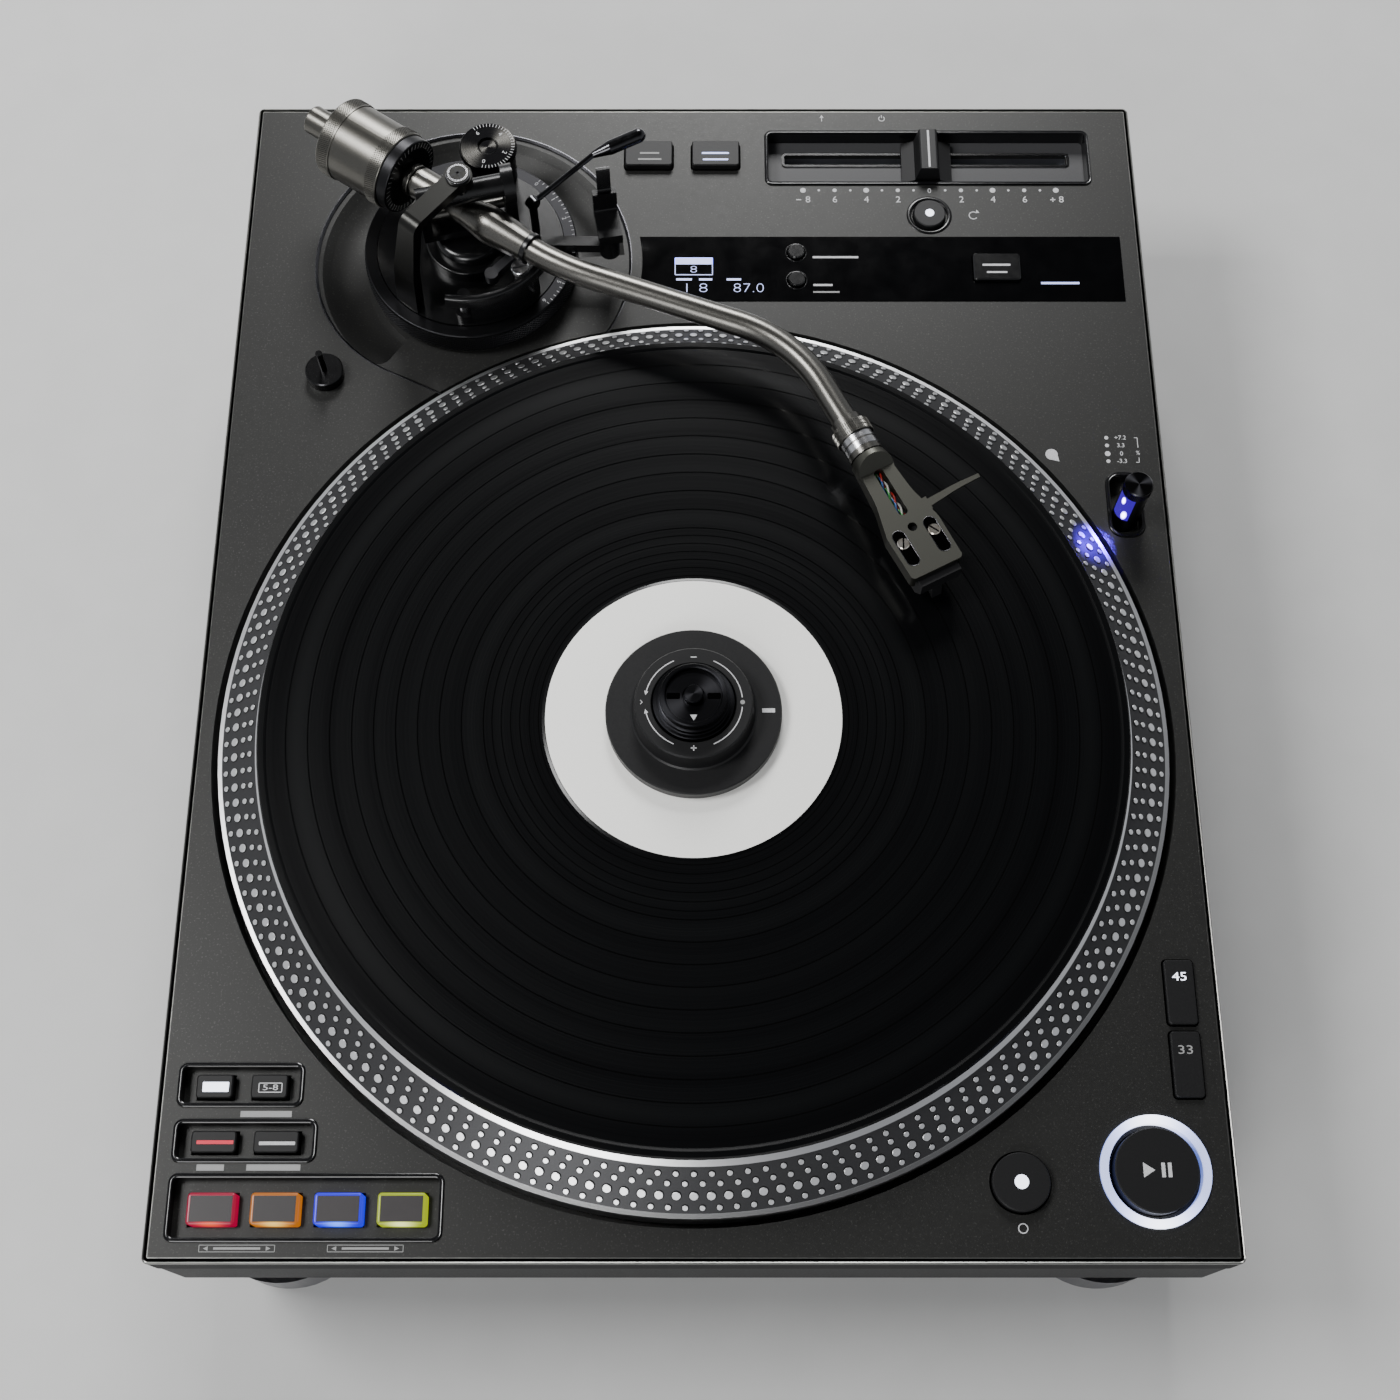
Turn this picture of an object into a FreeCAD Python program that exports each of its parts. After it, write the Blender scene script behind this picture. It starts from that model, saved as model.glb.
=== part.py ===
import FreeCAD, Part
import Sketcher
import math
import os

# The driving dimensions, in millimetres and degrees. X runs to the right, Y away from the player and Z up,
# and the origin lies on the ground under the plinth's centre. The levels of the case, the board and the
# sockets are heights above the ground, and the other levels are heights over the top of the plinth's plate.
DIMENSIONS = [
    # Plinth
    ("side_land", 6.5), ("front_land", 10.9), ("rear_land", 102.1), ("plinth_corner", 2.2), ("plate_top", 100),
    ("plate_thick", 4), ("skirt_tall", 15), ("skirt_wall", 3), ("edge_chamfer", 2), ("frame_bottom", 50),
    ("frame_wall", 4), ("flange_wide", 13), ("flange_thick", 3), ("base_bottom", 30), ("base_inset", 5),
    ("base_floor", 4), ("foot_radius", 29.5), ("foot_x", 30), ("foot_y", 29.7), ("foot_pad_tall", 7),
    ("foot_pad_radius", 26), ("screw_radius", 1.5), ("screw_head", 3.2), ("screw_head_tall", 1.8),
    ("screw_play", 0.2), ("screw_inset", 10), ("screw_pitch", 90.6), ("screw_boss", 4.5), ("seam", 0.15),
    ("foot_pad_round", 2), ("soft_edge", 0.6), ("soft_corner", 1),
    # Platter, motor and record
    ("well_gap", 2.8), ("well_depth", 16), ("well_wall", 2), ("well_floor", 3),
    ("platter_radius", 167.2), ("platter_ring_top", 1.85), ("strobe_lip", 1.5),
    ("strobe_low_level", 2.3), ("strobe_wide", 13.5), ("strobe_high_level", 11.8),
    ("strobe_crest", 2), ("platter_top", 13), ("platter_skirt", 14), ("platter_web", 7),
    ("platter_rim_wall", 6), ("platter_hub", 20), ("hub_bore", 11.2), ("hub_tall", 15), ("mat_inset", 1.2),
    ("mat_thick", 2.5), ("record_radius", 150.8), ("record_thick", 2), ("label_radius", 51.5),
    ("label_thick", 0.3), ("spindle_radius", 3.55), ("spindle_top", 32), ("fit_play", 0.08),
    ("shaft_radius", 5), ("shaft_bottom", -30), ("rotor_radius", 58), ("rotor_disc", 3.5),
    ("magnet_wide", 6), ("magnet_tall", 9), ("stator_radius", 50), ("stator_core", 22), ("stator_tall", 6),
    ("stator_plate", 2), ("pole_wide", 7), ("shoe_wide", 18.2), ("shoe_deep", 5), ("bearing_radius", 12),
    ("pilot_drop", 1), ("record_edge", 0.6), ("bead_wide", 2.5), ("bead_slope", 1),
    # Record clamp
    ("clamp_radius", 33.7), ("clamp_rim_tall", 5.4), ("clamp_lip", 2.2), ("clamp_floor_tall", 4.6),
    ("clamp_tier", 23), ("clamp_tier_low", 25), ("clamp_tier_tall", 12.5), ("clamp_well", 6.5),
    ("clamp_lip_slope", 0.8), ("dial_boss_slope", 0.6), ("dial_radius", 12.7), ("dial_play", 0.3),
    ("dial_level", 37), ("dial_rim", 1.6), ("dial_sink", 1.6), ("dial_boss", 4), ("dial_boss_level", 38),
    ("dial_slot_long", 5.5), ("dial_slot_wide", 2.3),
    # Trays sunk in the top panel: centre, width and depth of each
    ("tray_rim", 1.3), ("tray_proud", 0.5), ("tray_corner", 3), ("lamp_corner", 5.5), ("tray_floor", 1.8),
    ("fader_sink", 5.8), ("pad_sink", 7), ("lamp_sink", 5), ("fader_x", 82.6), ("fader_y", 24.6),
    ("fader_tray_wide", 130.4), ("fader_tray_deep", 26.2), ("slot_y", 21.5),
    ("slot_long", 114), ("slot_wide", 4.6),
    ("tray_one_x", 27.25), ("tray_one_y", 56.95), ("tray_one_wide", 41.5), ("tray_one_deep", 14.5),
    ("tray_two_x", 30), ("tray_two_y", 38.8), ("tray_two_wide", 47), ("tray_two_deep", 14),
    ("tray_three_x", 51.1), ("tray_three_y", 17.55), ("tray_three_wide", 89.2),
    ("tray_three_deep", 21.5), ("lamp_x", 16.1), ("lamp_y", 87.5), ("lamp_tray_y", 91),
    ("lamp_tray_wide", 13.5), ("lamp_tray_deep", 27),
    # Keys and pads: centre, width and depth of each
    ("key_play", 0.35), ("key_corner", 1.2), ("key_flange", 1.2), ("key_flange_thick", 2),
    ("key_hang", 0.1), ("key_proud", 3), ("low_key_proud", 1.8), ("pad_drop", 0.6),
    ("left_key_one_x", 18.35), ("right_key_one_x", 36.45), ("key_one_y", 56.65), ("key_one_wide", 12),
    ("key_one_deep", 7.7), ("left_key_two_x", 19.65), ("right_key_two_x", 40.1), ("key_two_y", 38.6),
    ("key_two_wide", 14.7), ("key_two_deep", 7), ("pad_x", 20.8), ("pad_pitch", 20.5), ("pad_y", 17.25),
    ("pad_wide", 15.6), ("pad_deep", 10.1), ("step_x", 194.35), ("range_x", 167.6), ("top_key_y", 24.25),
    ("top_key_wide", 18.9), ("top_key_deep", 11.9), ("needle_x", 57.85), ("needle_y", 77.25),
    ("needle_wide", 18.3), ("needle_deep", 12.1), ("menu_x", 136.2), ("menu_high_y", 70),
    ("menu_low_y", 82.8), ("menu_radius", 3.3), ("reset_x", 83), ("reset_y", 52.3),
    ("reset_radius", 6.3), ("reset_ring", 9), ("speed_x", 13.35), ("speed_high_y", 87.75),
    ("speed_low_y", 63.5), ("speed_wide", 9.7), ("speed_deep", 21.8), ("start_x", 26.7),
    ("start_y", 29), ("start_radius", 13.7), ("start_ring_in", 15.3), ("start_ring_out", 18.1),
    ("start_ring_proud", 0.8), ("ring_sink", 3), ("reset_sink", 0.6), ("key_bevel", 0.4),
    ("motor_key_x", 70.8), ("motor_key_y", 25.3), ("motor_key_radius", 9.4),
    # Display panel
    ("display_right", 8.5), ("display_left", 60.2), ("display_low", 92.3), ("display_high", 62.5),
    ("display_arc", 66.3), ("display_thick", 2.5), ("display_proud", 0.2),
    # Fader, lamp and storage weight
    ("fader_unit_tall", 12), ("fader_unit_deep", 14), ("fader_channel", 9), ("fader_unit_end", 7),
    ("fader_skirt_long", 20), ("fader_skirt_deep", 19), ("fader_skirt_tall", 3.4), ("fader_skirt_gap", 0.8),
    ("fader_ridge_long", 7), ("fader_ridge_top", 6), ("fader_ridge_flare", 1.5), ("fader_stem_long", 8),
    ("fader_stem_wide", 3.4), ("fader_stem_tall", 10), ("lamp_radius", 5.1), ("lamp_turn", 40),
    ("lamp_top", 22.8), ("lamp_long", 30), ("lamp_play", 0.3), ("window_wide", 4), ("window_tall", 11),
    ("window_drop", 4.5), ("window_sink", 0.8), ("weight_x", 36), ("weight_y", 125.5),
    ("weight_radius", 7.2), ("weight_tall", 4.5), ("pin_radius", 1.3), ("pin_tall", 15.5),
    # Tonearm base
    ("pivot_x", 90.3), ("pivot_y", 74.3), ("bowl_radius", 61.8), ("bowl_straight", 0.5), ("shelf_sink", 1),
    ("flare_drop", 34.5), ("flare_round", 54.5), ("flare_run", 4.7), ("channel_sink", 7), ("channel_foot", 50),
    ("channel_round", 25), ("channel_lip", 59.3), ("channel_start", -125), ("channel_end", 4),
    ("channel_corner", 5), ("channel_blend", 12), ("bowl_floor", 3), ("boss_radius", 40),
    ("boss_level", 0.2), ("column_radius", 33.7),
    ("column_play", 0.3), ("column_bottom", -16), ("deck_radius", 36), ("deck_top", 11), ("deck_thick", 5),
    ("ring_radius", 41), ("ring_bottom", 0.5), ("ring_top", 10.5), ("tier_radius", 16.5),
    ("tier_top", 16), ("dome_radius", 13), ("dome_top", 20.5), ("dome_round", 3), ("base_wall", 4),
    ("yoke_angle", -130), ("yoke_foot_out", 35.7), ("yoke_foot_in", 30.9), ("yoke_foot_wide", 11),
    ("yoke_knee_wide", 7.6), ("yoke_knee_out", 28.6), ("yoke_knee_in", 24.2), ("yoke_shoulder", 1),
    ("yoke_waist_level", 30), ("yoke_waist_out", 34), ("yoke_thick", 4.6), ("yoke_bar", 4),
    ("yoke_knee_round", 5), ("yoke_knee_hollow", 3), ("yoke_leg_round", 30), ("yoke_leg_hollow", 25),
    ("yoke_foot_lap", 3), ("yoke_foot_flare", 0.7), ("yoke_tongue", 1), ("yoke_gap", 2.1),
    ("yoke_boss", 5.2), ("yoke_screw", 4.4), ("yoke_screw_proud", 1.2),
    # Bearing block, turning under the yoke
    ("block_angle", 13), ("block_left", 16.8), ("block_right", 19.8), ("cheek_left", 13.2),
    ("cheek_right", 15.5), ("block_bottom", 23.2), ("block_floor", 26.3), ("block_deep", 8),
    ("barrel_level", 44.4), ("barrel_radius", 4.3), ("cap_radius", 7.2), ("block_post", 3.5),
    ("pivot_gap", 0.3), ("pivot_pin", 2), ("tilt_pin", 2),
    # Tonearm, measured along its own axis from the pivot
    ("arm_angle", -34.8), ("arm_level", 34), ("sleeve_start", 2), ("sleeve_core", 5.6),
    ("sleeve_wide_at", 12), ("sleeve_wide", 7.25), ("sleeve_end", 29.6), ("sleeve_tip", 5.75),
    ("socket_deep", 10), ("tube_radius", 4.75), ("sleeve_round", 20), ("stub_slope", 1.5),
    ("tube_wall", 0.8), ("tube_play", 0.08), ("stub_start", 8), ("stub_end", 25.2), ("stub_radius", 6.25),
    ("stub_flange", 22.4), ("stub_groove", 21), ("groove_radius", 5.3),
    ("tail_shaft", 4), ("tail_shaft_end", 58.5), ("elbow_one", 45), ("bend_one", 14.5),
    ("bend_one_radius", 109), ("run_two", 91.8), ("bend_two", -42.3), ("bend_two_radius", 55),
    ("tube_end", 46), ("pressure_front", 25.8), ("pressure_thick", 4.4), ("pressure_radius", 14.75),
    ("pressure_bore", 6.5), ("weight_knurl", 15.4), ("weight_body", 15.1), ("weight_knurl_long", 6),
    ("weight_long", 28.8), ("tail_neck", 4.9), ("tail_neck_long", 3), ("tail_weight", 5.5),
    ("tail_weight_long", 11), ("weight_travel", 4),
    # Collar and headshell, measured from the second elbow
    ("collar_start", 38), ("collar_step", 41), ("collar_knurl", 46), ("collar_plain", 52),
    ("collar_end", 54), ("collar_step_radius", 5.75), ("collar_knurl_radius", 7),
    ("collar_plain_radius", 6.25), ("collar_band_radius", 6.4), ("plug_radius", 4), ("plug_back", 47),
    ("shell_seam", 0.15), ("shell_neck", 5.8), ("shell_waist_at", 73), ("shell_waist", 7.2),
    ("shell_wide_at", 86), ("shell_wide", 10.3), ("shell_end", 104), ("shell_tip", 10.1),
    ("shell_top", 1.2), ("shell_plate", 2.2), ("shell_flange", 5), ("shell_wall", 1.4),
    ("shell_slot_at", 60.8), ("shell_slot_end", 80.6), ("shell_slot_wide", 3.6), ("shell_hole_at", 86),
    ("shell_hole", 1.7), ("shell_screw_at", 85.5), ("shell_screw_end", 98), ("shell_screw_wide", 3.4),
    ("shell_screw_off", 6.2), ("neck_wide_at", 59), ("neck_wide", 7.4), ("neck_round", 6),
    ("neck_end", 71), ("neck_tip", 4),
    ("neck_slope_at", 55.4), ("wire_sink", 4), ("shell_waist_round", 30), ("shell_wide_round", 8),
    ("shell_tip_round", 1.5), ("slot_round", 1.5), ("shoulder_radius", 6.2), ("lift_at", 80.2),
    ("lift_wide", 5.2), ("lift_thick", 0.8), ("lift_root", 6.6), ("lift_flat", 16), ("lift_tip", 30),
    ("lift_rise", 3.2), ("lift_clear", 10.2), ("lift_middle", 19), ("lift_root_half", 1.5), ("lift_half", 1.15),
    ("lift_tip_half", 0.75), ("lift_bow", 0.9), ("lift_curve", 60),
    # Cartridge
    ("cartridge_start", 82), ("cartridge_end", 107), ("cartridge_wide", 15.8),
    ("cartridge_tall", 10), ("stylus_at", 106.8), ("stylus_drop", 16.3), ("stylus_back", 96),
    ("stylus_wide", 4), ("nose_long", 3), ("nose_tall", 4), ("stylus_tip", 0.6),
    # Lifter, cue lever, lock lever and anti-skating dial
    ("rail_radius", 33.5), ("rail_wide", 3), ("rail_bottom", 21), ("rail_top", 26), ("rail_from", -101),
    ("rail_to", -25), ("rail_wall_from", -86), ("rail_wall_to", -37), ("rail_wall_top", 20.5),
    ("rail_round", 1.2), ("lift_post", 2.4), ("lift_post_at", 31), ("lift_post_angle", -90),
    ("lift_guide", 4.2), ("lift_guide_top", 15), ("lift_play", 0.3), ("knob_post_at", 27.9),
    ("knob_post_angle", -42), ("knob_post", 3), ("knob_post_top", 23), ("cue_post_at", 26.05),
    ("cue_post_angle", 14.7), ("cue_post", 1.6), ("cue_x", 25.2), ("cue_y", 6.6), ("cue_angle", 38.2),
    ("cue_rise", 11), ("cue_level", 29), ("cue_half", 1.5), ("cue_hub", 2.6), ("cue_rod", 1.1),
    ("cue_rod_long", 30.5), ("cue_kink", -18), ("grip_radius", 2.75), ("grip_neck", 1.3), ("grip_cone", 7),
    ("grip_long", 11.8), ("lock_x", 20.2), ("lock_y", -10.2), ("lock_angle", -132.3), ("lock_long", 15),
    ("lock_bottom", 20), ("lock_top", 24), ("lock_post", 2.4), ("lock_hub", 3.4), ("lock_lobe", 2.6),
    ("lock_waist", 1.7), ("skate_x", 7), ("skate_y", 33.4), ("skate_body", 10),
    ("skate_body_top", 25.5), ("skate_radius", 10.9), ("skate_gap", 0.2), ("skate_top", 28.5),
    ("skate_sink", 0.6), ("skate_rim", 3.2), ("skate_slope", 0.8),
    # Arm rest and its clip
    ("rest_bar_back", 27.2), ("rest_bar_side", 5.2), ("rest_bar_bottom", 12), ("rest_bar_top", 16.5),
    ("rest_bar_wide", 4.4), ("rest_x", 53.9), ("rest_y", -1.7), ("rest_angle", 10.3), ("rest_post", 4),
    ("rest_post_bottom", 10), ("rest_floor", 28.8), ("rest_under", 24), ("rest_near", -7),
    ("rest_far_in", 5.3), ("rest_far_out", 8), ("rest_far_top", 38.5), ("rest_long", 9),
    ("rest_bar_foot", 3), ("clip_hinge", 1.5), ("clip_level", 40.3), ("clip_wide", 5), ("clip_thick", 2.2),
    ("clip_top", 52),
    # Electronics and the rear
    ("board_x", 0), ("board_y", 51.5), ("board_wide", 190), ("board_deep", 70), ("board_level", 42),
    ("board_thick", 1.6), ("chip_tall", 3), ("chip_size", 16), ("chip_pitch", 57), ("standoff_radius", 4),
    ("supply_x", 46.5), ("supply_y", 106.5), ("supply_wide", 50), ("supply_deep", 90), ("supply_tall", 36),
    ("supply_fin", 2), ("fin_pitch", 6), ("rear_left", 51.5), ("rear_right", 26.5), ("rear_bottom", 57),
    ("rear_top", 81), ("rear_thick", 3), ("rear_lap", 2), ("jack_radius", 4.4), ("jack_core", 2),
    ("jack_long", 3.6), ("jack_first_x", 68.5), ("jack_pitch", 14), ("jack_level", 69), ("ground_x", 136.5),
    ("ground_radius", 3.4), ("usb_x", 126.5), ("usb_wide", 12), ("usb_tall", 11), ("usb_deep", 14),
    ("inlet_x", 58.5), ("inlet_wide", 24), ("inlet_tall", 16), ("inlet_deep", 18), ("socket_wall", 1.6),
    ("switch_x", 103.5), ("switch_wide", 12), ("switch_tall", 19.4), ("switch_play", 0.4),
    ("rocker_half", 8.6), ("rocker_inset", 4.5), ("rocker_pivot", 2.8), ("rocker_face", 5.5),
    ("rocker_crown", 7.2), ("rocker_back", 2), ("rocker_root", 6), ("rocker_tilt", 8),
]


class Size:
    """A number together with the spreadsheet expression that gives it."""

    def __init__(self, number, text):
        self.number = float(number)
        self.text = text

    def __add__(self, other):
        other = size(other)
        return Size(self.number + other.number, f"({self.text} + {other.text})")

    def __sub__(self, other):
        other = size(other)
        return Size(self.number - other.number, f"({self.text} - {other.text})")

    def __mul__(self, other):
        other = size(other)
        return Size(self.number * other.number, f"({self.text} * {other.text})")

    def __truediv__(self, other):
        other = size(other)
        return Size(self.number / other.number, f"({self.text} / {other.text})")

    def __neg__(self):
        return Size(-self.number, f"(0 - {self.text})")

    def __radd__(self, other):
        return size(other) + self

    def __rsub__(self, other):
        return size(other) - self


def size(value):
    """A plain number as a Size."""
    return value if isinstance(value, Size) else Size(value, f"({float(value)})")


def cosine(angle):
    return Size(math.cos(math.radians(angle.number)), f"cos({angle.text} * 1 deg)")


def sine(angle):
    return Size(math.sin(math.radians(angle.number)), f"sin({angle.text} * 1 deg)")


doc = FreeCAD.newDocument("turntable")
sheet = doc.addObject("Spreadsheet::Sheet", "Sizes")
for row, (alias, value) in enumerate(DIMENSIONS, start=1):
    sheet.set(f"A{row}", alias)
    sheet.set(f"B{row}", str(value))
    sheet.setAlias(f"B{row}", alias)
doc.recompute()


class Dimensions:
    """Every alias of the sheet as a Size."""


dim = Dimensions()
for alias, value in DIMENSIONS:
    setattr(dim, alias, Size(value, f"Sizes.{alias}"))

# The plinth fits round the platter's well, with a land on each side of it.
dim.well_radius = dim.platter_radius + dim.well_gap
dim.plinth_width = (dim.well_radius + dim.side_land) * 2
dim.plinth_depth = dim.well_radius * 2 + dim.front_land + dim.rear_land
RIGHT, REAR = dim.plinth_width / 2, dim.plinth_depth / 2
dim.platter_y = dim.front_land + dim.well_radius - REAR
dim.strobe_low = dim.platter_radius - dim.strobe_lip
dim.strobe_high = dim.strobe_low - dim.strobe_wide
dim.platter_rim = dim.strobe_high - dim.strobe_crest
dim.mat_radius = dim.platter_rim - dim.mat_inset

# The sheet gives these places from the plinth's edge that they keep to.
FROM_LEFT = ["tray_one_x", "tray_two_x", "tray_three_x", "left_key_one_x", "right_key_one_x", "left_key_two_x",
             "right_key_two_x", "pad_x", "weight_x", "pivot_x", "rear_left", "jack_first_x", "ground_x"]
FROM_RIGHT = ["fader_x", "lamp_x", "step_x", "range_x", "needle_x", "menu_x", "reset_x", "speed_x", "start_x",
              "motor_key_x", "display_right", "foot_x", "supply_x", "rear_right", "usb_x", "inlet_x", "switch_x"]
FROM_FRONT = ["tray_one_y", "tray_two_y", "tray_three_y", "key_one_y", "key_two_y", "pad_y", "speed_high_y",
              "speed_low_y", "start_y", "motor_key_y"]
FROM_REAR = ["fader_y", "slot_y", "top_key_y", "reset_y", "needle_y", "menu_high_y", "menu_low_y", "display_low",
             "display_high", "weight_y", "pivot_y", "foot_y", "board_y", "supply_y"]
for names, edge, way in (
        (FROM_LEFT, -RIGHT, 1), (FROM_RIGHT, RIGHT, -1), (FROM_FRONT, -REAR, 1), (FROM_REAR, REAR, -1)):
    for alias in names:
        setattr(dim, alias, edge + getattr(dim, alias) * way)

# Its levels keep to the plate's top, and the yoke keeps to the barrel that hangs under it.
FROM_PLATE = ["platter_ring_top", "strobe_low_level", "strobe_high_level", "platter_top", "spindle_top",
              "shaft_bottom", "dial_level", "dial_boss_level", "fader_ridge_top", "lamp_top", "boss_level",
              "column_bottom", "deck_top", "ring_bottom", "ring_top", "tier_top", "dome_top",
              "yoke_waist_level", "block_bottom", "block_floor", "barrel_level", "arm_level",
              "rail_bottom", "rail_top", "rail_wall_top", "lift_guide_top", "knob_post_top", "cue_level",
              "lock_bottom", "lock_top", "skate_body_top", "skate_top", "rest_bar_bottom", "rest_bar_top",
              "rest_post_bottom", "rest_floor", "rest_under", "rest_far_top", "clip_level", "clip_top"]
for alias in FROM_PLATE:
    setattr(dim, alias, dim.plate_top + getattr(dim, alias))
dim.yoke_under = dim.barrel_level + dim.barrel_radius + dim.yoke_gap
dim.yoke_top = dim.yoke_under + dim.yoke_bar
dim.yoke_screw_top = dim.yoke_top + dim.yoke_screw_proud

# And these from the tonearm's pivot, or from the platter's centre.
for alias in ("skate_x", "cue_x", "lock_x", "rest_x", "display_left"):
    setattr(dim, alias, dim.pivot_x + getattr(dim, alias))
for alias in ("skate_y", "cue_y", "lock_y", "rest_y"):
    setattr(dim, alias, dim.pivot_y + getattr(dim, alias))
for alias in ("lamp_y", "lamp_tray_y"):
    setattr(dim, alias, dim.platter_y + getattr(dim, alias))

bodies = []


def new_body(label, x=0, y=0, z=0, turn=0):
    """A body whose own origin is placed at x, y, z and turned about Z."""
    body = doc.addObject("PartDesign::Body", label)
    body.Label = label
    body.AllowCompound = True
    x, y, z, turn = size(x), size(y), size(z), size(turn)
    rotation = FreeCAD.Rotation(FreeCAD.Vector(0, 0, 1), turn.number)
    body.Placement = FreeCAD.Placement(FreeCAD.Vector(x.number, y.number, z.number), rotation)
    for axis, value in (("x", x), ("y", y), ("z", z)):
        body.setExpression(f"Placement.Base.{axis}", value.text)
    bodies.append(body)
    return body


def sketch_on(body, plane, level=0):
    """A sketch parallel to one of the body's origin planes, level away along the plane's normal."""
    level = size(level)
    sketch = body.newObject("Sketcher::SketchObject", "Sketch")
    support = next(item for item in body.Origin.OriginFeatures if item.Role == plane)
    sketch.AttachmentSupport = (support, "")
    sketch.MapMode = "FlatFace"
    sketch.AttachmentOffset = FreeCAD.Placement(FreeCAD.Vector(0, 0, level.number), FreeCAD.Rotation())
    sketch.setExpression("AttachmentOffset.Base.z", level.text)
    return sketch


def bind(sketch, constraints, sizes):
    """Adds the constraints at once, then binds the dimensional ones to their sizes."""
    numbers = sketch.addConstraint(constraints)
    for number, value in zip(numbers, sizes):
        if value is not None:
            sketch.setExpression(f"Constraints[{number}]", value.text)


def pin_point(constraints, sizes, item, point, x, y):
    """Holds one point of the sketch at x, y."""
    constraints.append(Sketcher.Constraint("DistanceX", -1, 1, item, point, x.number))
    sizes.append(x)
    constraints.append(Sketcher.Constraint("DistanceY", -1, 1, item, point, y.number))
    sizes.append(y)


def draw_circle(sketch, x, y, radius):
    x, y, radius = size(x), size(y), size(radius)
    centre = FreeCAD.Vector(x.number, y.number, 0)
    item = sketch.addGeometry(Part.Circle(centre, FreeCAD.Vector(0, 0, 1), radius.number))
    constraints, sizes = [], []
    pin_point(constraints, sizes, item, 3, x, y)
    constraints.append(Sketcher.Constraint("Radius", item, radius.number))
    sizes.append(radius)
    bind(sketch, constraints, sizes)


def draw_outline(sketch, corners, closed=True):
    """Straight runs through the corners. A corner's third value rounds it to that radius."""
    corners = [tuple(size(value) for value in corner) for corner in corners]
    points = [FreeCAD.Vector(corner[0].number, corner[1].number, 0) for corner in corners]
    count = len(corners)
    leave, arrive, arcs = list(points), list(points), {}
    for index in range(count):
        if len(corners[index]) < 3:
            continue
        radius = corners[index][2].number
        back = (points[index - 1] - points[index]).normalize()
        ahead = (points[(index + 1) % count] - points[index]).normalize()
        half = back.getAngle(ahead) / 2
        arrive[index] = points[index] + back * (radius / math.tan(half))
        leave[index] = points[index] + ahead * (radius / math.tan(half))
        inward = (back + ahead).normalize()
        middle = points[index] + inward * (radius / math.sin(half) - radius)
        left_turn = back.cross(ahead).z < 0
        arcs[index] = (Part.Arc(arrive[index], middle, leave[index]), left_turn)
    runs = count if closed else count - 1
    lines = [sketch.addGeometry(Part.LineSegment(leave[i], arrive[(i + 1) % count])) for i in range(runs)]
    constraints, sizes = [], []
    for index in range(count):
        if index in arcs:
            arc, left_turn = arcs[index]
            item = sketch.addGeometry(arc)
            corner = sketch.addGeometry(Part.Point(points[index]), True)
            first, last = (1, 2) if left_turn else (2, 1)
            before, after = lines[index - 1], lines[index]
            constraints += [
                Sketcher.Constraint("Tangent", before, 2, item, first),
                Sketcher.Constraint("Tangent", item, last, after, 1),
                Sketcher.Constraint("PointOnObject", corner, 1, before),
                Sketcher.Constraint("PointOnObject", corner, 1, after),
                Sketcher.Constraint("Radius", item, corners[index][2].number),
            ]
            sizes += [None, None, None, None, corners[index][2]]
            pin_point(constraints, sizes, corner, 1, *corners[index][:2])
        elif closed or 0 < index < count - 1:
            constraints.append(Sketcher.Constraint("Coincident", lines[index - 1], 2, lines[index], 1))
            sizes.append(None)
            pin_point(constraints, sizes, lines[index], 1, *corners[index])
        elif index == 0:
            pin_point(constraints, sizes, lines[0], 1, *corners[index])
        else:
            pin_point(constraints, sizes, lines[-1], 2, *corners[index])
    bind(sketch, constraints, sizes)


def outline(*corners):
    return lambda sketch: draw_outline(sketch, corners)


def disc(x, y, radius):
    return lambda sketch: draw_circle(sketch, x, y, radius)


def slab(x, y, wide, deep, corner=None):
    """A rectangle about a centre, with rounded corners where a corner radius is given."""
    left, right, low, high = x - wide / 2, x + wide / 2, y - deep / 2, y + deep / 2
    corners = [(left, low), (right, low), (right, high), (left, high)]
    if corner is not None:
        corners = [(a, b, corner) for a, b in corners]
    return outline(*corners)


def grown_slab(x, y, wide, deep, play, corner=None):
    """A slab with some play all round."""
    return slab(x, y, wide + play * 2, deep + play * 2, corner)


def extrude(body, kind, plane, level, length, shapes):
    sketch = sketch_on(body, plane, level)
    for shape in shapes:
        shape(sketch)
    feature = body.newObject(kind, kind.split("::")[1])
    feature.Profile = sketch
    feature.Length = size(length).number
    feature.setExpression("Length", size(length).text)
    return feature


def add(body, low, high, *shapes):
    """Material between two levels."""
    return extrude(body, "PartDesign::Pad", "XY_Plane", low, high - size(low), shapes)


def cut(body, low, high, *shapes):
    """A pocket between two levels."""
    return extrude(body, "PartDesign::Pocket", "XY_Plane", high, size(high) - low, shapes)


def add_side(body, thick, *shapes, middle=0):
    """Material with its outline in the X-Z plane and its thickness along Y, about middle."""
    return extrude(body, "PartDesign::Pad", "XZ_Plane", -(size(middle) + thick / 2), thick, shapes)


def cut_side(body, thick, *shapes, middle=0):
    start = -(size(middle) - thick / 2)
    return extrude(body, "PartDesign::Pocket", "XZ_Plane", start, thick, shapes)


def add_along(body, start, end, *shapes):
    """Material with its outline in the Y-Z plane, from one X to another."""
    return extrude(body, "PartDesign::Pad", "YZ_Plane", start, size(end) - start, shapes)


def cut_along(body, start, end, *shapes):
    return extrude(body, "PartDesign::Pocket", "YZ_Plane", end, size(end) - start, shapes)


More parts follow.
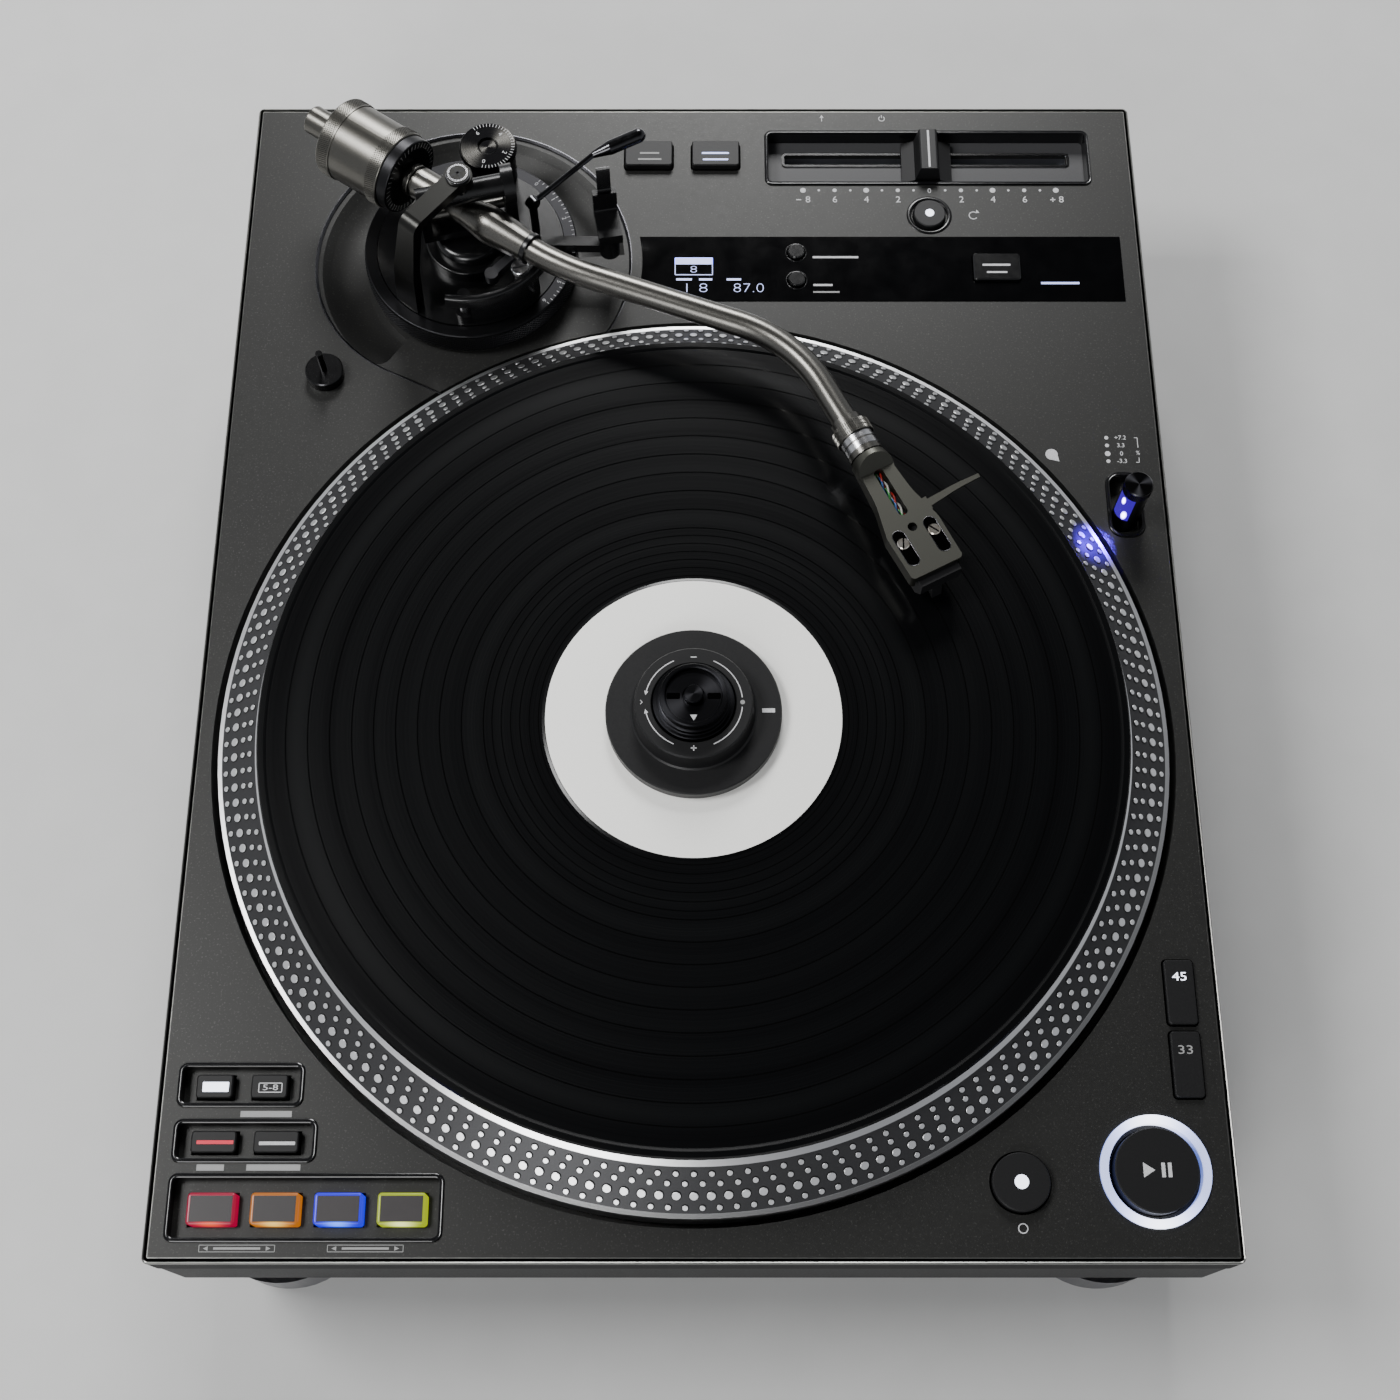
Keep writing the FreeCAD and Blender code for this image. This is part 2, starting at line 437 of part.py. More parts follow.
def turn(body, corners, about="V_Axis", kind="PartDesign::Revolution", angle=360, x=0, y=0):
    """Turned material or a turned groove about an axis through x, y, from an outline in the X-Z plane."""
    sketch = sketch_on(body, "XZ_Plane", -size(y))
    sketch.setExpression("AttachmentOffset.Base.x", size(x).text)
    draw_outline(sketch, corners)
    feature = body.newObject(kind, kind.split("::")[1])
    feature.Profile = sketch
    feature.ReferenceAxis = (sketch, [about])
    feature.Angle = size(angle).number
    feature.setExpression("Angle", size(angle).text)
    return feature


def chamfer(body, amount, wanted):
    """Bevels the edges of the last feature that the test picks."""
    doc.recompute()
    base = body.Tip
    names = [f"Edge{n}" for n, edge in enumerate(base.Shape.Edges, start=1) if wanted(edge.BoundBox)]
    feature = body.newObject("PartDesign::Chamfer", "Chamfer")
    feature.Base = (base, names)
    feature.Size = size(amount).number
    feature.setExpression("Size", size(amount).text)
    return feature


def at_level(level, reach=None):
    """Picks edges lying at one level, and only those that stay beyond a reach from the body's axis."""
    def test(box):
        flat = abs(box.ZMin - level.number) < 0.01 and abs(box.ZMax - level.number) < 0.01
        far = reach is None or max(abs(box.XMin), abs(box.XMax), abs(box.YMin), abs(box.YMax)) > reach.number
        return flat and far
    return test


def polar(radius, angle):
    """The x and y of a point at a radius and angle from the body's own axis."""
    return radius * cosine(angle), radius * sine(angle)


PLATE_UNDER = dim.plate_top - dim.plate_thick
SKIRT_BOTTOM = dim.plate_top - dim.skirt_tall
WELL_FLOOR = dim.plate_top - dim.well_depth
SHELF = dim.plate_top - dim.shelf_sink
BOWL_FLOOR = dim.plate_top - dim.channel_sink
BASE_FLOOR = dim.base_bottom + dim.base_floor
MAT_TOP = dim.platter_top + dim.mat_thick
RECORD_TOP = MAT_TOP + dim.record_thick
HUB_BOTTOM = dim.platter_top - dim.hub_tall
REAR_INNER = dim.plinth_depth / 2 - dim.frame_wall

POLES = 12
JACKS = 4
SCREWS_A_SIDE = 4
SHELF_SPOKES = 4

# Each tray sunk in the panel: its centre, width, depth, how far its floor lies down, and its corners.
TRAYS = [
    (dim.tray_one_x, dim.tray_one_y, dim.tray_one_wide, dim.tray_one_deep, dim.pad_sink, dim.tray_corner),
    (dim.tray_two_x, dim.tray_two_y, dim.tray_two_wide, dim.tray_two_deep, dim.pad_sink, dim.tray_corner),
    (dim.tray_three_x, dim.tray_three_y, dim.tray_three_wide, dim.tray_three_deep, dim.pad_sink,
     dim.tray_corner),
    (dim.fader_x, dim.fader_y, dim.fader_tray_wide, dim.fader_tray_deep, dim.fader_sink, dim.tray_corner),
    (dim.lamp_x, dim.lamp_tray_y, dim.lamp_tray_wide, dim.lamp_tray_deep, dim.lamp_sink, dim.lamp_corner),
]

# Keys that pass through a tray's floor: name, centre, width and depth.
TRAY_KEYS = [
    ("left_key_one", dim.left_key_one_x, dim.key_one_y, dim.key_one_wide, dim.key_one_deep),
    ("right_key_one", dim.right_key_one_x, dim.key_one_y, dim.key_one_wide, dim.key_one_deep),
    ("left_key_two", dim.left_key_two_x, dim.key_two_y, dim.key_two_wide, dim.key_two_deep),
    ("right_key_two", dim.right_key_two_x, dim.key_two_y, dim.key_two_wide, dim.key_two_deep),
] + [
    (f"pad_{n + 1}", dim.pad_x + dim.pad_pitch * n, dim.pad_y, dim.pad_wide, dim.pad_deep) for n in range(4)
]

# Keys that pass through the plate: name, centre, width, depth and height over the plate.
PLATE_KEYS = [
    ("step_key", dim.step_x, dim.top_key_y, dim.top_key_wide, dim.top_key_deep, dim.key_proud),
    ("range_key", dim.range_x, dim.top_key_y, dim.top_key_wide, dim.top_key_deep, dim.key_proud),
    ("needle_key", dim.needle_x, dim.needle_y, dim.needle_wide, dim.needle_deep, dim.low_key_proud),
    ("speed_key_45", dim.speed_x, dim.speed_high_y, dim.speed_wide, dim.speed_deep, dim.low_key_proud),
    ("speed_key_33", dim.speed_x, dim.speed_low_y, dim.speed_wide, dim.speed_deep, dim.low_key_proud),
]

# Round keys: name, centre, radius and height over the plate.
ROUND_KEYS = [
    ("menu_key_high", dim.menu_x, dim.menu_high_y, dim.menu_radius, dim.low_key_proud),
    ("menu_key_low", dim.menu_x, dim.menu_low_y, dim.menu_radius, dim.low_key_proud),
    ("reset_key", dim.reset_x, dim.reset_y, dim.reset_radius, dim.low_key_proud),
    ("start_key", dim.start_x, dim.start_y, dim.start_radius, dim.key_proud),
    ("motor_key", dim.motor_key_x, dim.motor_key_y, dim.motor_key_radius, dim.key_proud),
]


def screw_places():
    """The eight case screws, four along each side."""
    side = dim.plinth_width / 2 - dim.screw_inset
    first = dim.screw_pitch * (-(SCREWS_A_SIDE - 1) / 2)
    return [(side * sign, first + dim.screw_pitch * step) for sign in (-1, 1) for step in range(SCREWS_A_SIDE)]


def top_panel():
    """The cast top panel, with its skirt, the platter's well and the tonearm's bowl."""
    body = new_body("top_panel")
    top = dim.plate_top
    add(body, SKIRT_BOTTOM, top, slab(0, 0, dim.plinth_width, dim.plinth_depth, dim.plinth_corner))
    chamfer(body, dim.edge_chamfer, at_level(top))
    inner_wide = dim.plinth_width - dim.skirt_wall * 2
    inner_deep = dim.plinth_depth - dim.skirt_wall * 2
    cut(body, SKIRT_BOTTOM, PLATE_UNDER, slab(0, 0, inner_wide, inner_deep))
    cut(body, top - dim.display_thick, top, display_outline(dim.seam))
    well_low = WELL_FLOOR - dim.well_floor
    add(body, well_low, PLATE_UNDER, disc(0, dim.platter_y, dim.well_radius + dim.well_wall))
    bowl_low = BOWL_FLOOR - dim.bowl_floor
    add(body, bowl_low, top, disc(dim.pivot_x, dim.pivot_y, dim.display_arc - dim.seam))
    cut(body, SHELF, top, bowl_outline())
    channel = [(0, BOWL_FLOOR), (dim.channel_foot, BOWL_FLOOR, dim.channel_round), (dim.channel_lip, SHELF),
               (0, SHELF)]
    turn(body, channel, kind="PartDesign::Groove", x=dim.pivot_x, y=dim.pivot_y)
    add(body, bowl_low, SHELF, shelf_outline())
    cut(body, WELL_FLOOR, top, disc(0, dim.platter_y, dim.well_radius))
    add(body, bowl_low, dim.boss_level, disc(dim.pivot_x, dim.pivot_y, dim.boss_radius))
    column = dim.column_radius + dim.column_play
    cut(body, bowl_low, dim.boss_level, disc(dim.pivot_x, dim.pivot_y, column))
    cut(body, well_low, WELL_FLOOR, disc(0, dim.platter_y, dim.bearing_radius + dim.seam))
    for x, y, wide, deep, sink, corner in TRAYS:
        cut(body, PLATE_UNDER, top, grown_slab(x, y, wide, deep, dim.seam, corner))
    for name, x, y, wide, deep, proud in PLATE_KEYS:
        cut(body, PLATE_UNDER, top, grown_slab(x, y, wide, deep, dim.key_play, dim.key_corner))
    for name, x, y, radius, proud in ROUND_KEYS:
        cut(body, PLATE_UNDER, top, disc(x, y, radius + dim.key_play))
    cut(body, top - dim.ring_sink, top, disc(dim.start_x, dim.start_y, dim.start_ring_out + dim.seam))
    cut(body, top - dim.reset_sink, top, disc(dim.reset_x, dim.reset_y, dim.reset_ring))
    return body


def bowl_outline():
    """The bowl's rim: round the pivot, but drawn in towards the platter at its front left."""
    left, right = dim.pivot_x - dim.bowl_radius, dim.pivot_x + dim.bowl_radius
    low, high = dim.pivot_y - dim.bowl_radius, dim.pivot_y + dim.bowl_radius
    bend = dim.bowl_radius - dim.bowl_straight
    return outline((left, dim.pivot_y - dim.flare_drop, dim.flare_round), (dim.pivot_x - dim.flare_run, low),
                   (right, low, bend), (right, high, bend), (left, high, bend))


def shelf_outline():
    """The part of the bowl in front of the tonearm, where the shelf fills the channel."""
    rim = dim.display_arc - dim.seam * 2
    span = (dim.channel_end - dim.channel_start) / SHELF_SPOKES
    spokes = [(dim.channel_lip - dim.shelf_sink, dim.channel_start, dim.channel_corner),
              (dim.channel_lip, dim.channel_start - dim.channel_blend),
              (rim, dim.channel_start - dim.channel_blend / 2)]
    spokes += [(rim, dim.channel_start + span * (n + 1)) for n in range(SHELF_SPOKES)]
    corners = [(dim.pivot_x, dim.pivot_y)]
    for radius, angle, *rounding in spokes:
        x, y = polar(radius, angle)
        corners.append((dim.pivot_x + x, dim.pivot_y + y, *rounding))
    return outline(*corners)


def display_outline(play):
    """The display's rectangle, grown by some play. The arc over the bowl's side is cut on its own."""
    middle_x = (dim.display_left + dim.display_right) / 2
    middle_y = (dim.display_low + dim.display_high) / 2
    wide = dim.display_right - dim.display_left + play * 2
    deep = dim.display_high - dim.display_low + play * 2
    return slab(middle_x, middle_y, wide, deep)


def display_panel():
    """The gloss window, whose left end follows the bowl's rim."""
    body = new_body("display_panel")
    low, high = dim.plate_top - dim.display_thick, dim.plate_top + dim.display_proud
    add(body, low, high, display_outline(size(0)))
    cut(body, low, high, disc(dim.pivot_x, dim.pivot_y, dim.display_arc))
    name, x, y, wide, deep, proud = PLATE_KEYS[2]
    cut(body, low, high, grown_slab(x, y, wide, deep, dim.key_play, dim.key_corner))
    for name, x, y, radius, proud in ROUND_KEYS[:2]:
        cut(body, low, high, disc(x, y, radius + dim.key_play))
    return body


def side_frame():
    """The plinth's middle frame, with an inward flange at its foot and an opening at the rear."""
    body = new_body("side_frame")
    wide, deep = dim.plinth_width - dim.seam * 4, dim.plinth_depth - dim.seam * 4
    add(body, dim.frame_bottom, SKIRT_BOTTOM, slab(0, 0, wide, deep, dim.plinth_corner))
    flange_top = dim.frame_bottom + dim.flange_thick
    wall = dim.frame_wall * 2
    cut(body, flange_top, SKIRT_BOTTOM, slab(0, 0, dim.plinth_width - wall, dim.plinth_depth - wall))
    flange = dim.flange_wide * 2
    cut(body, dim.frame_bottom, flange_top, slab(0, 0, dim.plinth_width - flange, dim.plinth_depth - flange))
    rear_x = (dim.rear_left + dim.rear_right) / 2
    rear_wide = dim.rear_right - dim.rear_left - dim.rear_lap * 2
    opening = slab(rear_x, REAR_INNER + dim.frame_wall / 2, rear_wide, dim.frame_wall * 2)
    cut(body, dim.rear_bottom + dim.rear_lap, dim.rear_top - dim.rear_lap, opening)
    for x, y in screw_places():
        cut(body, dim.frame_bottom, flange_top, disc(x, y, dim.screw_radius + dim.screw_play))
    return body


def bottom_base():
    """The heavy black base, a tray with screw bosses and the board's standoffs."""
    body = new_body("bottom_base")
    wide, deep = dim.plinth_width - dim.base_inset * 2, dim.plinth_depth - dim.base_inset * 2
    add(body, dim.base_bottom, dim.frame_bottom, slab(0, 0, wide, deep, dim.plinth_corner))
    chamfer(body, dim.edge_chamfer, at_level(dim.base_bottom))
    wall = dim.frame_wall * 2
    cut(body, BASE_FLOOR, dim.frame_bottom, slab(0, 0, wide - wall, deep - wall))
    for x, y in screw_places():
        add(body, BASE_FLOOR, dim.frame_bottom, disc(x, y, dim.screw_boss))
        cut(body, dim.base_bottom, dim.frame_bottom, disc(x, y, dim.screw_radius + dim.screw_play))
    for side_x in (-1, 1):
        for side_y in (-1, 1):
            x = dim.board_x + (dim.board_wide / 2 - dim.standoff_radius) * side_x
            y = dim.board_y + (dim.board_deep / 2 - dim.standoff_radius) * side_y
            add(body, BASE_FLOOR, dim.board_level, disc(x, y, dim.standoff_radius))
    return body


def feet():
    """Four damped feet: a metal cup over a narrower pad."""
    body = new_body("feet")
    step = dim.foot_pad_tall
    profile = [
        (0, 0), (dim.foot_pad_radius, 0, dim.foot_pad_round), (dim.foot_pad_radius, step),
        (dim.foot_radius, step, dim.soft_corner), (dim.foot_radius, dim.base_bottom), (0, dim.base_bottom)]
    for side_x in (-1, 1):
        for side_y in (-1, 1):
            turn(body, profile, x=dim.foot_x * side_x, y=dim.foot_y * side_y)
    return body


def case_screws():
    body = new_body("case_screws")
    for x, y in screw_places():
        add(body, dim.base_bottom - dim.screw_head_tall, dim.base_bottom, disc(x, y, dim.screw_head))
        add(body, dim.base_bottom, dim.frame_bottom + dim.flange_thick, disc(x, y, dim.screw_radius))
    return body


def panel_trays():
    """Five trays with raised rims: three for keys, one for the fader and one for the lamp."""
    body = new_body("panel_trays")
    for x, y, wide, deep, sink, corner in TRAYS:
        floor = dim.plate_top - sink
        rim_top = dim.plate_top + dim.tray_proud
        add(body, floor - dim.tray_floor, rim_top, slab(x, y, wide, deep, corner))
        inner = slab(x, y, wide - dim.tray_rim * 2, deep - dim.tray_rim * 2, corner - dim.tray_rim)
        cut(body, floor, rim_top, inner)
    for name, x, y, wide, deep in TRAY_KEYS:
        floor = dim.plate_top - dim.pad_sink
        cut(body, floor - dim.tray_floor, floor, grown_slab(x, y, wide, deep, dim.key_play, dim.key_corner))
    fader_floor = dim.plate_top - dim.fader_sink
    slot = slab(dim.fader_x, dim.slot_y, dim.slot_long, dim.slot_wide)
    cut(body, fader_floor - dim.tray_floor, fader_floor, slot)
    lamp_floor = dim.plate_top - dim.lamp_sink
    lamp_hole = disc(dim.lamp_x, dim.lamp_y, dim.lamp_radius + dim.lamp_play)
    cut(body, lamp_floor - dim.tray_floor, lamp_floor, lamp_hole)
    return body


def key(name, under, top, face, flange):
    """A key through its hole, with a flange that catches under it. The face's edge is bevelled."""
    body = new_body(name)
    low = under - dim.key_hang - dim.key_flange_thick
    add(body, low, top, face)
    chamfer(body, dim.key_bevel, at_level(top))
    add(body, low, under - dim.key_hang, flange)
    return body


def keys():
    """All the keys and pads: those in the trays, those in the plate and the round ones."""
    tray_under = dim.plate_top - dim.pad_sink - dim.tray_floor
    for name, x, y, wide, deep in TRAY_KEYS:
        flange = grown_slab(x, y, wide, deep, dim.key_flange)
        face = slab(x, y, wide, deep, dim.key_corner)
        key(name, tray_under, dim.plate_top - dim.pad_drop, face, flange)
    for name, x, y, wide, deep, proud in PLATE_KEYS:
        flange = grown_slab(x, y, wide, deep, dim.key_flange)
        face = slab(x, y, wide, deep, dim.key_corner)
        key(name, PLATE_UNDER, dim.plate_top + proud, face, flange)
    for name, x, y, radius, proud in ROUND_KEYS:
        flange = disc(x, y, radius + dim.key_flange)
        key(name, PLATE_UNDER, dim.plate_top + proud, disc(x, y, radius), flange)


def start_ring():
    """The lit ring round the start key."""
    body = new_body("start_ring")
    low, high = dim.plate_top - dim.ring_sink, dim.plate_top + dim.start_ring_proud
    add(body, low, high, disc(dim.start_x, dim.start_y, dim.start_ring_out),
        disc(dim.start_x, dim.start_y, dim.start_ring_in))
    return body


def fader_unit():
    """The slide control hanging under its tray, with a channel for the knob's stem."""
    body = new_body("fader_unit")
    high = dim.plate_top - dim.fader_sink - dim.tray_floor
    long = dim.slot_long + dim.fader_unit_end * 2
    add(body, high - dim.fader_unit_tall, high, slab(dim.fader_x, dim.slot_y, long, dim.fader_unit_deep))
    cut(body, high - dim.fader_channel, high, slab(dim.fader_x, dim.slot_y, dim.slot_long, dim.slot_wide))
    return body


def fader_knob():
    """The fader's knob: a ridge between two sloping skirts, on a flat stem."""
    body = new_body("fader_knob", dim.fader_x, dim.fader_y)
    low = dim.plate_top - dim.fader_sink + dim.fader_skirt_gap
    skirt, ridge = dim.fader_skirt_long / 2, dim.fader_ridge_long / 2
    shoulder = low + dim.fader_skirt_tall
    lip = low + dim.fader_skirt_tall / 2
    root = ridge + dim.fader_ridge_flare
    section = outline(
        (-skirt, low), (skirt, low), (skirt, lip), (root, shoulder),
        (ridge, dim.fader_ridge_top, dim.soft_corner), (-ridge, dim.fader_ridge_top, dim.soft_corner),
        (-root, shoulder), (-skirt, lip))
    add_side(body, dim.fader_skirt_deep, section)
    stem = slab(0, dim.slot_y - dim.fader_y, dim.fader_stem_long, dim.fader_stem_wide)
    add(body, low - dim.fader_stem_tall, low, stem)
    return body


def lamp_post():
    """The pop-up stylus lamp, with its window on the platter's side."""
    body = new_body("lamp_post", dim.lamp_x, dim.lamp_y, 0, dim.lamp_turn)
    add(body, dim.lamp_top - dim.lamp_long, dim.lamp_top, disc(0, 0, dim.lamp_radius))
    chamfer(body, dim.key_bevel, at_level(dim.lamp_top))
    middle = dim.lamp_top - dim.window_drop - dim.window_tall / 2
    cut_along(body, -dim.lamp_radius, dim.window_sink - dim.lamp_radius,
              slab(size(0), middle, dim.window_wide, dim.window_tall))
    return body


def auxiliary_weight():
    """The spare balance weight with its threaded pin, standing on the plate."""
    body = new_body("auxiliary_weight", dim.weight_x, dim.weight_y)
    high = dim.plate_top + dim.weight_tall
    add(body, dim.plate_top, high, disc(0, 0, dim.weight_radius))
    chamfer(body, dim.key_bevel, at_level(high))
    add(body, high, dim.plate_top + dim.pin_tall, disc(0, 0, dim.pin_radius))
    return body


def platter():
    """The platter, turned: a sloping strobe edge between two lips, a skirt and a hub."""
    body = new_body("platter", 0, dim.platter_y)
    skirt_low = dim.platter_ring_top - dim.platter_skirt
    wall = dim.platter_radius - dim.platter_rim_wall
    web = dim.platter_top - dim.platter_web
    turn(body, [
        (dim.hub_bore, dim.platter_top), (dim.platter_rim, dim.platter_top),
        (dim.strobe_high, dim.strobe_high_level), (dim.strobe_low, dim.strobe_low_level),
        (dim.platter_radius, dim.platter_ring_top), (dim.platter_radius, skirt_low),
        (wall, skirt_low), (dim.platter_rim, web), (dim.platter_hub, web),
        (dim.platter_hub, HUB_BOTTOM), (dim.hub_bore, HUB_BOTTOM)])
    return body


def slipmat():
    body = new_body("slipmat", 0, dim.platter_y)
    bore = dim.spindle_radius + dim.dial_play
    turn(body, [(bore, dim.platter_top), (dim.mat_radius, dim.platter_top), (dim.mat_radius, MAT_TOP),
                (bore, MAT_TOP)])
    return body


def rotor_shaft():
    """The motor's turning half: shaft and spindle, a flat disc and the ring of magnets under it."""
    body = new_body("rotor_shaft", 0, dim.platter_y)
    disc_low = HUB_BOTTOM - dim.rotor_disc
    magnet_in = dim.rotor_radius - dim.magnet_wide
    pilot = dim.hub_bore - dim.seam
    pilot_top = dim.platter_top - dim.pilot_drop
    tip = dim.spindle_radius / 2
    turn(body, [
        (0, dim.shaft_bottom), (dim.shaft_radius, dim.shaft_bottom), (dim.shaft_radius, disc_low),
        (magnet_in, disc_low), (magnet_in, disc_low - dim.magnet_tall),
        (dim.rotor_radius, disc_low - dim.magnet_tall), (dim.rotor_radius, HUB_BOTTOM), (pilot, HUB_BOTTOM),
        (pilot, pilot_top), (dim.spindle_radius, pilot_top), (dim.spindle_radius, dim.spindle_top - tip),
        (tip, dim.spindle_top), (0, dim.spindle_top)])
    return body


def motor_stator():
    """The motor's fixed half: the bearing housing, a plate on the well's floor and the ring of poles."""
    body = new_body("motor_stator", 0, dim.platter_y)
    plate_top = WELL_FLOOR + dim.stator_plate
    pole_top = plate_top + dim.stator_tall
    bore = dim.shaft_radius + dim.fit_play
    turn(body, [
        (0, dim.shaft_bottom - dim.stator_plate), (dim.bearing_radius, dim.shaft_bottom - dim.stator_plate),
        (dim.bearing_radius, WELL_FLOOR), (dim.stator_radius, WELL_FLOOR), (dim.stator_radius, plate_top),
        (dim.stator_core, plate_top), (dim.stator_core, pole_top), (bore, pole_top), (bore, dim.shaft_bottom),
        (0, dim.shaft_bottom)])
    reach = dim.stator_radius - dim.stator_core / 2
    centre = size(0)
    pole = slab(dim.stator_core / 2 + reach / 2, centre, reach, dim.pole_wide)
    head = slab(dim.stator_radius - dim.shoe_deep / 2, centre, dim.shoe_deep, dim.shoe_wide)
    pole_pad = add(body, plate_top, pole_top, pole)
    head_pad = add(body, plate_top, pole_top, head)
    doc.recompute()
    ring = body.newObject("PartDesign::PolarPattern", "PolePattern")
    ring.Originals = [pole_pad, head_pad]
    axis = next(item for item in body.Origin.OriginFeatures if item.Role == "Z_Axis")
    ring.Axis = (axis, [""])
    ring.Angle = 360
    ring.Occurrences = POLES
    body.Tip = ring
    return body


def record():
    """The record, turned, with the raised bead at its rim."""
    body = new_body("record", 0, dim.platter_y)
    bore = dim.spindle_radius + dim.fit_play
    groove = RECORD_TOP - dim.label_thick
    bead = dim.record_radius - dim.bead_wide
    edge = dim.record_radius - dim.record_edge
    turn(body, [
        (bore, MAT_TOP), (edge, MAT_TOP), (dim.record_radius, MAT_TOP + dim.record_thick / 2),
        (edge, RECORD_TOP), (bead, RECORD_TOP), (bead - dim.bead_slope, groove),
        (dim.label_radius + dim.bead_slope, groove), (dim.label_radius, RECORD_TOP), (bore, RECORD_TOP)])
    return body


def clamp_base():
    """The record clamp's stepped body, with a well for its dial."""
    body = new_body("clamp_base", 0, dim.platter_y)
    bore = dim.spindle_radius + dim.fit_play
    rim = RECORD_TOP + dim.clamp_rim_tall
    floor = RECORD_TOP + dim.clamp_floor_tall
    tier = RECORD_TOP + dim.clamp_tier_tall
    well = dim.dial_radius + dim.dial_play
    lip = dim.clamp_radius - dim.clamp_lip
    turn(body, [
        (bore, RECORD_TOP), (dim.clamp_radius, RECORD_TOP), (dim.clamp_radius, rim, dim.soft_edge),
        (lip, rim), (lip - dim.clamp_lip_slope, floor), (dim.clamp_tier_low, floor),
        (dim.clamp_tier, tier, dim.soft_corner), (well, tier),
        (well, RECORD_TOP + dim.clamp_well), (bore, RECORD_TOP + dim.clamp_well)])
    return body


def clamp_dial():
    """The clamp's dial: a spun, dished top with a boss over the spindle's blind bore."""
    body = new_body("clamp_dial", 0, dim.platter_y)
    low = RECORD_TOP + dim.clamp_well + dim.skate_gap
    bore = dim.spindle_radius + dim.fit_play
    rim_in = dim.dial_radius - dim.dial_rim
    dish = dim.dial_level - dim.dial_sink
    turn(body, [
        (bore, low), (dim.dial_radius, low), (dim.dial_radius, dim.dial_level, dim.soft_edge),
        (rim_in, dim.dial_level), (rim_in - dim.dial_sink, dish), (dim.dial_boss + dim.dial_boss_slope, dish),
        (dim.dial_boss, dim.dial_boss_level, dim.soft_edge),
        (0, dim.dial_boss_level), (0, dim.spindle_top + dim.dial_play), (bore, dim.spindle_top + dim.dial_play)])
    slot_middle = (dim.dial_boss + rim_in) / 2
    for side in (-1, 1):
        slot = slab(slot_middle * side, size(0), dim.dial_slot_long, dim.dial_slot_wide)
        cut(body, dish - dim.skate_sink, dish, slot)
    return body


def pivot_body(label, turn_by=0, z=0):
    """A body on the tonearm's vertical axis."""
    return new_body(label, dim.pivot_x, dim.pivot_y, z, turn_by)


def arm_body(label):
    """A body on the tonearm's vertical axis, at the tube's height and turned along the arm."""
    return pivot_body(label, dim.arm_angle, dim.arm_level)


def height_ring():
    """The height adjusting ring round the arm base."""
    body = pivot_body("height_ring")
    bore = dim.deck_radius + dim.column_play
    turn(body, [(bore, dim.ring_bottom), (dim.ring_radius, dim.ring_bottom, dim.soft_edge),
                (dim.ring_radius, dim.ring_top, dim.soft_edge), (bore, dim.ring_top)])
    return body


def arm_base():
    """The arm base: a hollow column, the deck on it and the stepped turret under the pivot."""
    body = pivot_body("arm_base")
    ceiling = dim.deck_top - dim.deck_thick
    inner = dim.column_radius - dim.base_wall
    turn(body, [
        (0, ceiling), (inner, ceiling), (inner, dim.column_bottom), (dim.column_radius, dim.column_bottom),
        (dim.column_radius, ceiling), (dim.deck_radius, ceiling), (dim.deck_radius, dim.deck_top),
        (dim.tier_radius, dim.deck_top), (dim.tier_radius, dim.tier_top, dim.soft_edge),
        (dim.dome_radius, dim.tier_top), (dim.dome_radius, dim.dome_top, dim.dome_round), (0, dim.dome_top)])
    return body


def yoke():
    """The arch from the deck's edge to a boss over the pivot, narrowing from its foot to its knee."""
    body = pivot_body("yoke", dim.yoke_angle)
    knee_out = (dim.yoke_knee_out - dim.yoke_shoulder, dim.yoke_top, dim.yoke_knee_round)
    knee_in = (dim.yoke_knee_in, dim.yoke_under, dim.yoke_knee_hollow)
    section = outline(
        (dim.yoke_foot_in, dim.deck_top), (dim.yoke_foot_out, dim.deck_top),
        (dim.yoke_waist_out, dim.yoke_waist_level, dim.yoke_leg_round), knee_out, (0, dim.yoke_top),
        (0, dim.yoke_under), knee_in,
        (dim.yoke_waist_out - dim.yoke_thick, dim.yoke_waist_level, dim.yoke_leg_hollow))
    add_side(body, dim.yoke_foot_wide, section)
    foot, knee = dim.yoke_foot_wide / 2, dim.yoke_knee_wide / 2
    end, start = dim.yoke_foot_out + dim.yoke_foot_lap, -dim.yoke_tongue
    flare = foot + dim.yoke_foot_flare
    for side in (-1, 1):
        wedge = outline((start, foot * side * 2), (start, knee * side), (dim.yoke_knee_out, knee * side),
                        (end, flare * side), (end, foot * side * 2))
        cut(body, dim.deck_top, dim.yoke_top, wedge)
    add(body, dim.yoke_under, dim.yoke_top, disc(0, 0, dim.yoke_boss))
    add(body, dim.yoke_top, dim.yoke_screw_top, disc(0, 0, dim.yoke_screw))
    return body


def bearing_block():
    """The bearing block hanging under the yoke: a barrel with its end cap, two cheeks and a floor."""
    body = pivot_body("bearing_block", dim.block_angle)
    left, right = -dim.block_left, dim.block_right
    section = outline(
        (left, dim.block_bottom), (right, dim.block_bottom, dim.soft_corner), (right, dim.barrel_level),
        (dim.cheek_right, dim.barrel_level), (dim.cheek_right, dim.block_floor),
        (-dim.cheek_left, dim.block_floor),
        (-dim.cheek_left, dim.barrel_level), (left, dim.barrel_level))
    add_side(body, dim.block_deep, section)
    centre = size(0)
    add_along(body, left, dim.cheek_right, disc(centre, dim.barrel_level, dim.barrel_radius))
    add_along(body, dim.cheek_right, right, disc(centre, dim.barrel_level, dim.cap_radius))
    add(body, dim.barrel_level, dim.yoke_under - dim.pivot_gap, disc(0, 0, dim.block_post))
    add(body, dim.dome_top + dim.pivot_gap, dim.block_bottom, disc(0, 0, dim.pivot_pin))
    return body


